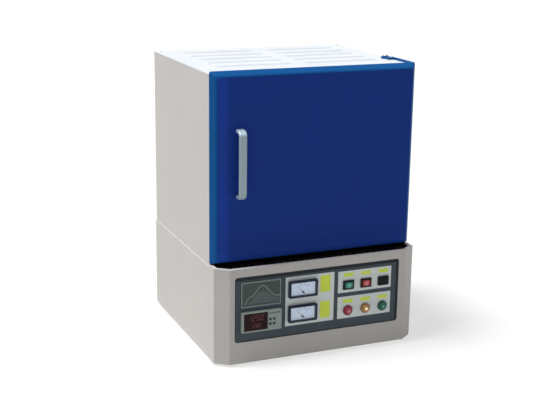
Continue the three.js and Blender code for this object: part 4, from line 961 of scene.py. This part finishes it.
opening_width, opening_height, opening_corner, pivot_drop = 61 * MM, 31 * MM, 0.6 * MM, 8 * MM
dial_depth, card_gap, card_thickness = 5.9 * MM, 0.4 * MM, 0.3 * MM
pane_gap, glass_sink, glass_thickness = 0.2 * MM, 0.3 * MM, 1.5 * MM
scale_start, scale_sweep, scale_radius = math.radians(135), -math.radians(90), 16 * MM
tick_kinds = (
    ("long", 4, 3.4 * MM, 0.5 * MM), ("middle", 7, 2.6 * MM, 0.4 * MM), ("short", 31, 1.8 * MM, 0.25 * MM),
)
for meter, numbers in (("ammeter", ("0", "10", "20", "30")), ("voltmeter", ("0", "100", "200", "300"))):
    centre = middle_of(f"{meter}_case")
    bezel_face = -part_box(f"{meter}_case")[0].y
    card_face = bezel_face - dial_depth
    from_solid(f"{meter}_case", f"{meter}_moulded_case", "cabinet", "navy_plastic", navy_plastic,
               edge=0.6 * MM)
    from_solid(f"{meter}_pointer", f"{meter}_needle", f"{meter}_pointer", "black_plastic", pointer_steel)
    card = rounded_rectangle(opening_width - card_gap, opening_height - card_gap, opening_corner, centre)
    front_piece(f"{meter}_dial_card", card, card_face - card_thickness, card_face, "plate_plastic",
                dial_card, edge=0.05 * MM)
    pivot = FACING_FRONT @ Matrix.Translation((centre[0], centre[1] - pivot_drop, card_face))
    for name, count, length, width in tick_kinds:
        fit(grown(f"{meter}_{name}_ticks", ticks_on_an_arc, {
            "Material": dial_ink, "Count": count, "Radius": scale_radius + length / 2, "Start": scale_start,
            "Sweep": scale_sweep, "Length": length, "Width": width, "Height": 0.1 * MM,
        }, pivot), "cabinet", "black_plastic")
    words = []
    for i, number in enumerate(numbers):
        around = scale_start + scale_sweep * i / (len(numbers) - 1)
        place = Matrix.Translation((number_radius * math.cos(around), number_radius * math.sin(around), 0))
        words.append(flat_number(number, pivot @ place))
    fit(joined(f"{meter}_scale_numbers", words, dial_ink), "cabinet", "black_plastic")
    pane = rounded_rectangle(opening_width - pane_gap, opening_height - pane_gap, opening_corner, centre)
    front_piece(f"{meter}_glass", pane, bezel_face - glass_sink - glass_thickness, bezel_face - glass_sink,
                "plate_plastic", clear_glass, edge=0.1 * MM)


# Push buttons and rocker: black moulded bezels with a green and a red cap that press in, and a
# black rocker. The caps are tinted plastic, painted paler towards the middle as painted light.
facet_width, cap_reach = 1.111 * MM, 9 * MM


def tinted_plastic(name, rim, heart, centre, reach, glow=0.0):
    """Tinted moulded plastic painted paler round a centre, given as x and z in the furnace's frame, as
    painted light.
    """
    material, tree, places = patterned(name)
    flat = put(tree, "ShaderNodeVectorMath", {0: places, 1: (1, 0, 1)}, operation="MULTIPLY")
    away = put(tree, "ShaderNodeVectorMath", {0: flat, 1: (centre[0], 0, centre[1])}, operation="DISTANCE")
    near = put(tree, "ShaderNodeMapRange", {
        "Value": away.outputs["Value"], "From Min": reach, "From Max": 0.0, "To Min": 0.0, "To Max": 1.0,
    }, interpolation_type="SMOOTHSTEP")
    cells = put(tree, "ShaderNodeTexVoronoi", {"Vector": places, "Scale": 1 / facet_width})
    bump = put(tree, "ShaderNodeBump", {
        "Height": cells.outputs["Distance"], "Strength": 0.2, "Distance": peel_height,
    })
    # Painted light: the colour turns paler from the rim towards the heart.
    base = put(tree, "ShaderNodeMix", {0: near, 6: linear(rim), 7: linear(heart)}, data_type="RGBA")
    skin = {
        "Base Color": base.outputs[2], "Roughness": 0.2, "Normal": bump, "Specular IOR Level": 0.4,
    }
    if glow:
        lit = put(tree, "ShaderNodeMath", {0: near, 1: glow}, operation="MULTIPLY")
        skin |= {"Emission Color": base.outputs[2], "Emission Strength": lit}
    return finished(material, skin)


for node in ("start_button_housing", "stop_button_housing", "power_switch_housing"):
    from_solid(node, f"{node}_bezel", "cabinet", "black_plastic", black_plastic, edge=0.8 * MM, segments=3)
for node, colour, rim, heart in (("start_button", "green", "#0F7A63", "#6FD0BE"),
                                 ("stop_button", "red", "#A8232E", "#E98A8E")):
    cap = tinted_plastic(f"{colour} tinted plastic", rim, heart, middle_of(node), cap_reach)
    from_solid(node, f"{colour}_{node[:-7]}_cap", node, f"{colour}_plastic", cap, edge=0.8 * MM, segments=3)
from_solid("power_rocker", "black_power_rocker", "power_rocker", "black_plastic", black_plastic,
           edge=0.5 * MM)

# Signal lamps: a moulded collar and a domed lens of tinted plastic in each. The red and green
# lamps are off and show a small pale heart of painted highlight, and the amber one is lit.
lamp_kinds = (
    ("alarm_lamp", "red", "#A41E3C", "#E9A4AE", 6 * MM, 0.0, "#6E1A2C"),
    ("heating_lamp", "amber", "#B98A4A", "#FFF3CC", 6 * MM, 0.7, "#86693F"),
    ("power_lamp", "green", "#006452", "#8FD8C8", 4 * MM, 0.0, "#00483C"),
)
collar_radius, lens_radius, collar_height, collar_step = 12 * MM, 9.5 * MM, 4 * MM, MM
lens_seat, groove_radius = collar_height - collar_step, lens_radius + 0.4 * MM
for node, colour, rim, heart, reach, glow, collar in lamp_kinds:
    seat = FACING_FRONT @ Matrix.Translation((*middle_of(node), film_face))
    lens_plastic = tinted_plastic(f"{colour} lamp lens", rim, heart, middle_of(node), reach, glow)
    collar_plastic = coated(f"{colour} lamp collar", collar, 0.35, 0.5, 0.15)
    collar_profile = [
        (0, 0), (collar_radius, 0), (collar_radius, lens_seat), (collar_radius - collar_step, collar_height),
        (groove_radius, collar_height), (groove_radius, lens_seat), (0, lens_seat),
    ]
    ring = lathed(f"{colour}_lamp_collar", collar_profile, collar_plastic, seat)
    fit(ring, "cabinet", f"{colour}_plastic", node)
    spring = collar_height + collar_step
    crown = -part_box(node)[0].y - film_face - spring
    dome = [(0, lens_seat), (lens_radius, lens_seat), (lens_radius, spring)]
    for step in range(1, 9):
        around = step * math.pi / 16
        dome.append((lens_radius * math.cos(around), spring + crown * math.sin(around)))
    fit(lathed(f"{colour}_lamp_lens", dome, lens_plastic, seat), "cabinet", f"{colour}_plastic")


# Upper body: C-shaped side sheets of the same painted steel, folded with their flanges inwards,
# round a galvanised inner casing, whose zinc crystals show as patches of slightly different grey.
def spangled(name, colour, cell_mm):
    """Hot-dip galvanised sheet, whose crystals differ a little in tone and gloss."""
    material, tree, places = patterned(name)
    cells = put(tree, "ShaderNodeTexVoronoi", {"Vector": places, "Scale": 1 / (cell_mm * MM)}).outputs
    tone = put(tree, "ShaderNodeMapRange", {"Value": cells["Color"], "To Min": 0.8, "To Max": 1.0})
    base = put(tree, "ShaderNodeVectorMath", {0: linear(colour)[:3], "Scale": tone}, operation="SCALE")
    rub = put(tree, "ShaderNodeMapRange", {"Value": cells["Color"], "To Min": 0.3, "To Max": 0.5})
    return finished(material, {"Base Color": base, "Roughness": rub, "Metallic": 1.0})


side_flange = 14 * MM
for node in ("upper_left_panel", "upper_right_panel"):
    low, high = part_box(node)
    outward = low.x if low.x < 0 else high.x
    lip = outward - math.copysign(side_flange, outward)
    side_fold = [(lip, high.y), (outward, high.y), (outward, low.y), (lip, low.y)]
    if outward > 0:
        side_fold.reverse()
    fit(extruded(f"{node}_sheet", folded_outline(side_fold, fold_radius), low.z, high.z, FACING_UP,
                 grey_powder_coat), "cabinet", "grey_paint", node)
galvanised = spangled("galvanised steel", "#AEB2B3", 9)
for node in ("inner_casing", "mouth_frame"):
    from_solid(node, f"{node}_sheet", "cabinet", "zinc_steel", galvanised, edge=0.3 * MM)

# Chamber: backup insulation and a lining of vacuum-formed fibre board, a hearth plate, two
# U-shaped heating elements in ceramic holders and a sheathed thermocouple. The board is soft and
# felted, the ceramics are smooth, and the elements are dark glazed rods.
felt_mottle, felt_height, felt_cloud = 0.06, 0.4 * MM, 71.4 * MM


def fibrous(name, colour, felt_mm, depth):
    """Felted ceramic fibre: matt, cloudy at a few scales and softly lumpy."""
    material, tree, places = patterned(name)
    felt = put(tree, "ShaderNodeTexNoise", {
        "Vector": places, "Scale": 1 / (felt_mm * MM), "Detail": 6.0, "Roughness": 0.7,
    })
    cloud = put(tree, "ShaderNodeTexNoise", {"Vector": places, "Scale": 1 / felt_cloud, "Detail": 3.0})
    blend = put(tree, "ShaderNodeMath", {0: felt, 1: cloud}, operation="MULTIPLY")
    tone = put(tree, "ShaderNodeMapRange", {
        "Value": blend, "From Min": 0.1, "From Max": 0.45, "To Min": 1 - felt_mottle,
        "To Max": 1 + felt_mottle,
    })
    base = put(tree, "ShaderNodeVectorMath", {0: linear(colour)[:3], "Scale": tone}, operation="SCALE")
    bump = put(tree, "ShaderNodeBump", {"Height": felt, "Strength": depth, "Distance": felt_height})
    return finished(material, {
        "Base Color": base, "Roughness": 0.95, "Normal": bump, "Specular IOR Level": 0.15,
    })


fibre_board = fibrous("vacuum-formed fibre board", "#E3DFD3", 3.5, 0.6)
hot_face = fibrous("polycrystalline fibre board", "#EDEAE2", 2.5, 0.5)
alumina = coated("fired alumina", "#E6DECB", 0.55, 0.9, 0.3, mottle=0.05)
silicide = coated("glazed silicide rod", "#4A4744", 0.25, 2.0, 0.2, mottle=0.1)
chamber_pieces = (
    ("chamber_insulation", "backup_insulation", "fibre_board", fibre_board, 0.8 * MM),
    ("chamber_lining", "chamber_hot_face", "fibre_board", hot_face, 1.2 * MM),
    ("hearth_plate", "hearth_tile", "alumina", alumina, MM),
    ("heating_element_left", "u_element_left", "silicide", silicide, 0),
    ("element_holder_left", "ceramic_holder_left", "alumina", alumina, 0.8 * MM),
    ("heating_element_right", "u_element_right", "silicide", silicide, 0),
    ("element_holder_right", "ceramic_holder_right", "alumina", alumina, 0.8 * MM),
    ("thermocouple", "thermocouple_sheath", "alumina", alumina, 0.5 * MM),
)
for node, name, slot, material, edge in chamber_pieces:
    from_solid(node, name, "cabinet", slot, material, edge)

# Hinge: a turned steel post fixed to the cabinet, on which the door's two arms turn. It is bare
# and bright, with fine rings from the lathe.
hinge_steel = metal("turned steel", "#8F9395", 0.3, (0.05, 0.05, 1), 0.5)
from_solid("hinge_post", "hinge_post_pin", "cabinet", "zinc_steel", hinge_steel, edge=0.3 * MM)

# Door: a pan of 2 mm steel in baked blue enamel, folded back steeply at its edges, the lower one
# less, with a side wing and two arms that reach the hinge. A film of darker navy on the flat front
# is painted shade, so the folds look lit, and it is painted lighter along its left and lower edges.
blue_enamel = coated("mid-blue baked enamel", "#155A9C", 0.4, 3.0, 0.1, specular=0.06, mottle=0.02)
# Painted shade: the front film is a darker tone of the door's blue.
navy_shade_film = coated("navy shade film", "#1C3C92", 0.4, 3.0, 0.08, specular=0.06, mottle=0.02)
skin_low, skin_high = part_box("door_skin")
skin_width, skin_height = skin_high.x - skin_low.x, skin_high.z - skin_low.z
pan_depth, rim_depth, bevel_width = 16.3 * MM, 3 * MM, 10 * MM
side_roll, end_roll, roll_steps, pan_corner, bottom_share = 8 * MM, 6 * MM, 8, 5 * MM, 0.5
pan_back = skin_low.y + pan_depth
bevel_fold = math.atan2(pan_depth - rim_depth, bevel_width)


def paint_light_along(material, axis, start, end, gain):
    """Paints light into a material's colour along one of the furnace's axes, as far as gain times at end."""
    tree = material.node_tree
    skin = next(node for node in tree.nodes if node.type == "BSDF_PRINCIPLED")
    places = put(tree, "ShaderNodeTexCoord").outputs["Object"]
    along = put(tree, "ShaderNodeSeparateXYZ", {0: places}).outputs[axis]
    tone = put(tree, "ShaderNodeMapRange", {
        "Value": along, "From Min": start, "From Max": end, "To Min": 1.0, "To Max": gain,
    }, interpolation_type="SMOOTHSTEP")
    colour = skin.inputs["Base Color"].links[0].from_socket
    base = put(tree, "ShaderNodeVectorMath", {0: colour, "Scale": tone}, operation="SCALE")
    tree.links.new(base.outputs[0], skin.inputs["Base Color"])


def pan_inset(depth, roll):
    """How far the pan's edge has come in at a depth: a straight rim, a bevel and a roll into the front."""
    left = pan_depth - depth
    if left < roll * (1 - math.cos(bevel_fold)):
        tilt = math.acos(1 - left / roll)
        return bevel_width + roll * (math.tan(bevel_fold / 2) - math.sin(tilt))
    return max(0.0, depth - rim_depth) / math.tan(bevel_fold)


def door_pan():
    """The pan as one closed shell, open at the rear, with wider rolls at its sides than at its ends."""
    middle = (skin_low.z + skin_high.z) / 2
    depths = {0, rim_depth - MM, rim_depth}
    for roll in (side_roll, end_roll):
        depths |= {pan_depth - roll * (1 - math.cos(bevel_fold * step / roll_steps))
                   for step in range(roll_steps + 1)}
    outer = []
    for depth in sorted(depths):
        above = pan_inset(depth, end_roll)
        outer.append((pan_inset(depth, side_roll), above, above * bottom_share, depth))
    inner = [(across + sheet, above + sheet, below + sheet, max(depth - sheet, 0))
             for across, above, below, depth in outer[2:]]
    sections = [*outer, *reversed(inner), (sheet, sheet, sheet, 0)]
    corners = []
    for across, above, below, depth in sections:
        outline = rounded_rectangle(skin_width - 2 * across, skin_height - above - below, pan_corner,
                                    (0, middle + (below - above) / 2), 5)
        corners += [Vector((p.x, pan_back - depth, p.y)) for p in outline]
    count = len(corners) // len(sections)
    faces = []
    for ring in range(len(sections)):
        start, following = ring * count, (ring + 1) % len(sections) * count
        if ring == len(outer) - 1:
            faces.append(tuple(range(start, start + count)))
            faces.append(tuple(range(following, following + count)))
        else:
            for i in range(count):
                j = (i + 1) % count
                faces.append((start + i, start + j, following + j, following + i))
    return mesh_object("door_pan", corners, faces, blue_enamel)


fit(soften(door_pan(), angle=50), "door", "blue_paint", "door_skin")
front_inset, front_corner, front_thickness = 12.5 * MM, 3 * MM, 0.2 * MM
film_foot, film_top = skin_low.z + front_inset * bottom_share, skin_high.z - front_inset
film_outline = rounded_rectangle(skin_width - 2 * front_inset, film_top - film_foot, front_corner,
                                 (0, (film_top + film_foot) / 2))
# Painted light: the film is lightened towards its left and lower edges.
painted_light_from, painted_light_to, left_light_gain = skin_low.x + 50 * MM, skin_low.x + 26 * MM, 1.38
painted_light_above, foot_light_gain = film_foot + 32 * MM, 1.5
paint_light_along(navy_shade_film, "X", painted_light_from, painted_light_to, left_light_gain)
paint_light_along(navy_shade_film, "Z", painted_light_above, film_foot, foot_light_gain)
front_piece("door_front_film", film_outline, -skin_low.y - front_thickness / 2,
            -skin_low.y + front_thickness / 2, "blue_paint", navy_shade_film, edge=0.05 * MM, body="door")
wing_thickness, wing_overlap, wing_corner = 3.5 * MM, 3 * MM, 1.2 * MM
wing_middle = (skin_high.x - wing_thickness / 2, (skin_high.y + pan_back - wing_overlap) / 2)
wing_outline = rounded_rectangle(wing_thickness, skin_high.y - pan_back + wing_overlap, wing_corner,
                                 wing_middle, 3)
fit(extruded("door_wing", wing_outline, skin_low.z, skin_high.z, FACING_UP, blue_enamel, edge=0.8 * MM),
    "door", "blue_paint")
for end in ("top", "bottom"):
    from_solid(f"hinge_arm_{end}", f"hinge_arm_{end}_plate", "door", "blue_paint", blue_enamel, edge=0.5 * MM)

# Handle: a flat steel bow with rounded edges and rolled ends, brushed along its length under a
# silver lacquer, with a painted highlight at the upper bend, and screwed to the door from inside.
satin_steel = metal("silver-lacquered brushed steel", "#A6B9C4", 0.35, (1, 1, 0.03), 0.5, metallic=0.1)
# Painted highlight: the lacquer is lightened towards the top of the upper bend.
handle_top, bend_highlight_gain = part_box("door_handle")[1].z, 1.8
highlight_foot, highlight_crown = handle_top - 15 * MM, handle_top - 6 * MM
paint_light_along(satin_steel, "Z", highlight_foot, highlight_crown, bend_highlight_gain)
from_solid("door_handle", "steel_bow_handle", "door", "handle_steel", satin_steel, edge=2 * MM, segments=4)

# Door lining: a steel tray holds the backup board, a hot-face plug fills the mouth, and a woven
# ceramic gasket seals round it. The gasket is matt and shows its soft yarns.
wave_length, yarn_relief = 0.3125, 0.6 * MM


def woven(name, colour, strand_mm):
    """A plain weave of soft yarn: a wave, which is wave_length long at scale 1, spans two strands."""
    material, tree, places = patterned(name)
    bands = []
    for axis in ("X", "Z"):
        wave = put(tree, "ShaderNodeTexWave", {
            "Vector": places, "Scale": wave_length / (2 * strand_mm * MM), "Distortion": 1.5, "Detail": 2.0,
        }, bands_direction=axis)
        bands.append(wave.outputs["Fac"])
    weave = put(tree, "ShaderNodeMath", {0: bands[0], 1: bands[1]}, operation="MULTIPLY")
    tone = put(tree, "ShaderNodeMapRange", {"Value": weave, "To Min": 0.78, "To Max": 1.0})
    base = put(tree, "ShaderNodeVectorMath", {0: linear(colour)[:3], "Scale": tone}, operation="SCALE")
    bump = put(tree, "ShaderNodeBump", {"Height": weave, "Strength": 0.8, "Distance": yarn_relief})
    return finished(material, {
        "Base Color": base, "Roughness": 0.9, "Normal": bump, "Specular IOR Level": 0.15,
    })


gasket_weave = woven("woven ceramic gasket", "#E9E6DC", 1.6)
lining_pieces = (
    ("door_frame", "door_tray", "zinc_steel", galvanised, 0.3 * MM),
    ("door_insulation", "door_backup_board", "fibre_board", fibre_board, 0.8 * MM),
    ("door_plug", "door_hot_face_plug", "fibre_board", hot_face, 1.5 * MM),
    ("door_seal", "door_gasket", "fibre_board", gasket_weave, MM),
)
for node, name, slot, material, edge in lining_pieces:
    from_solid(node, name, "door", slot, material, edge)
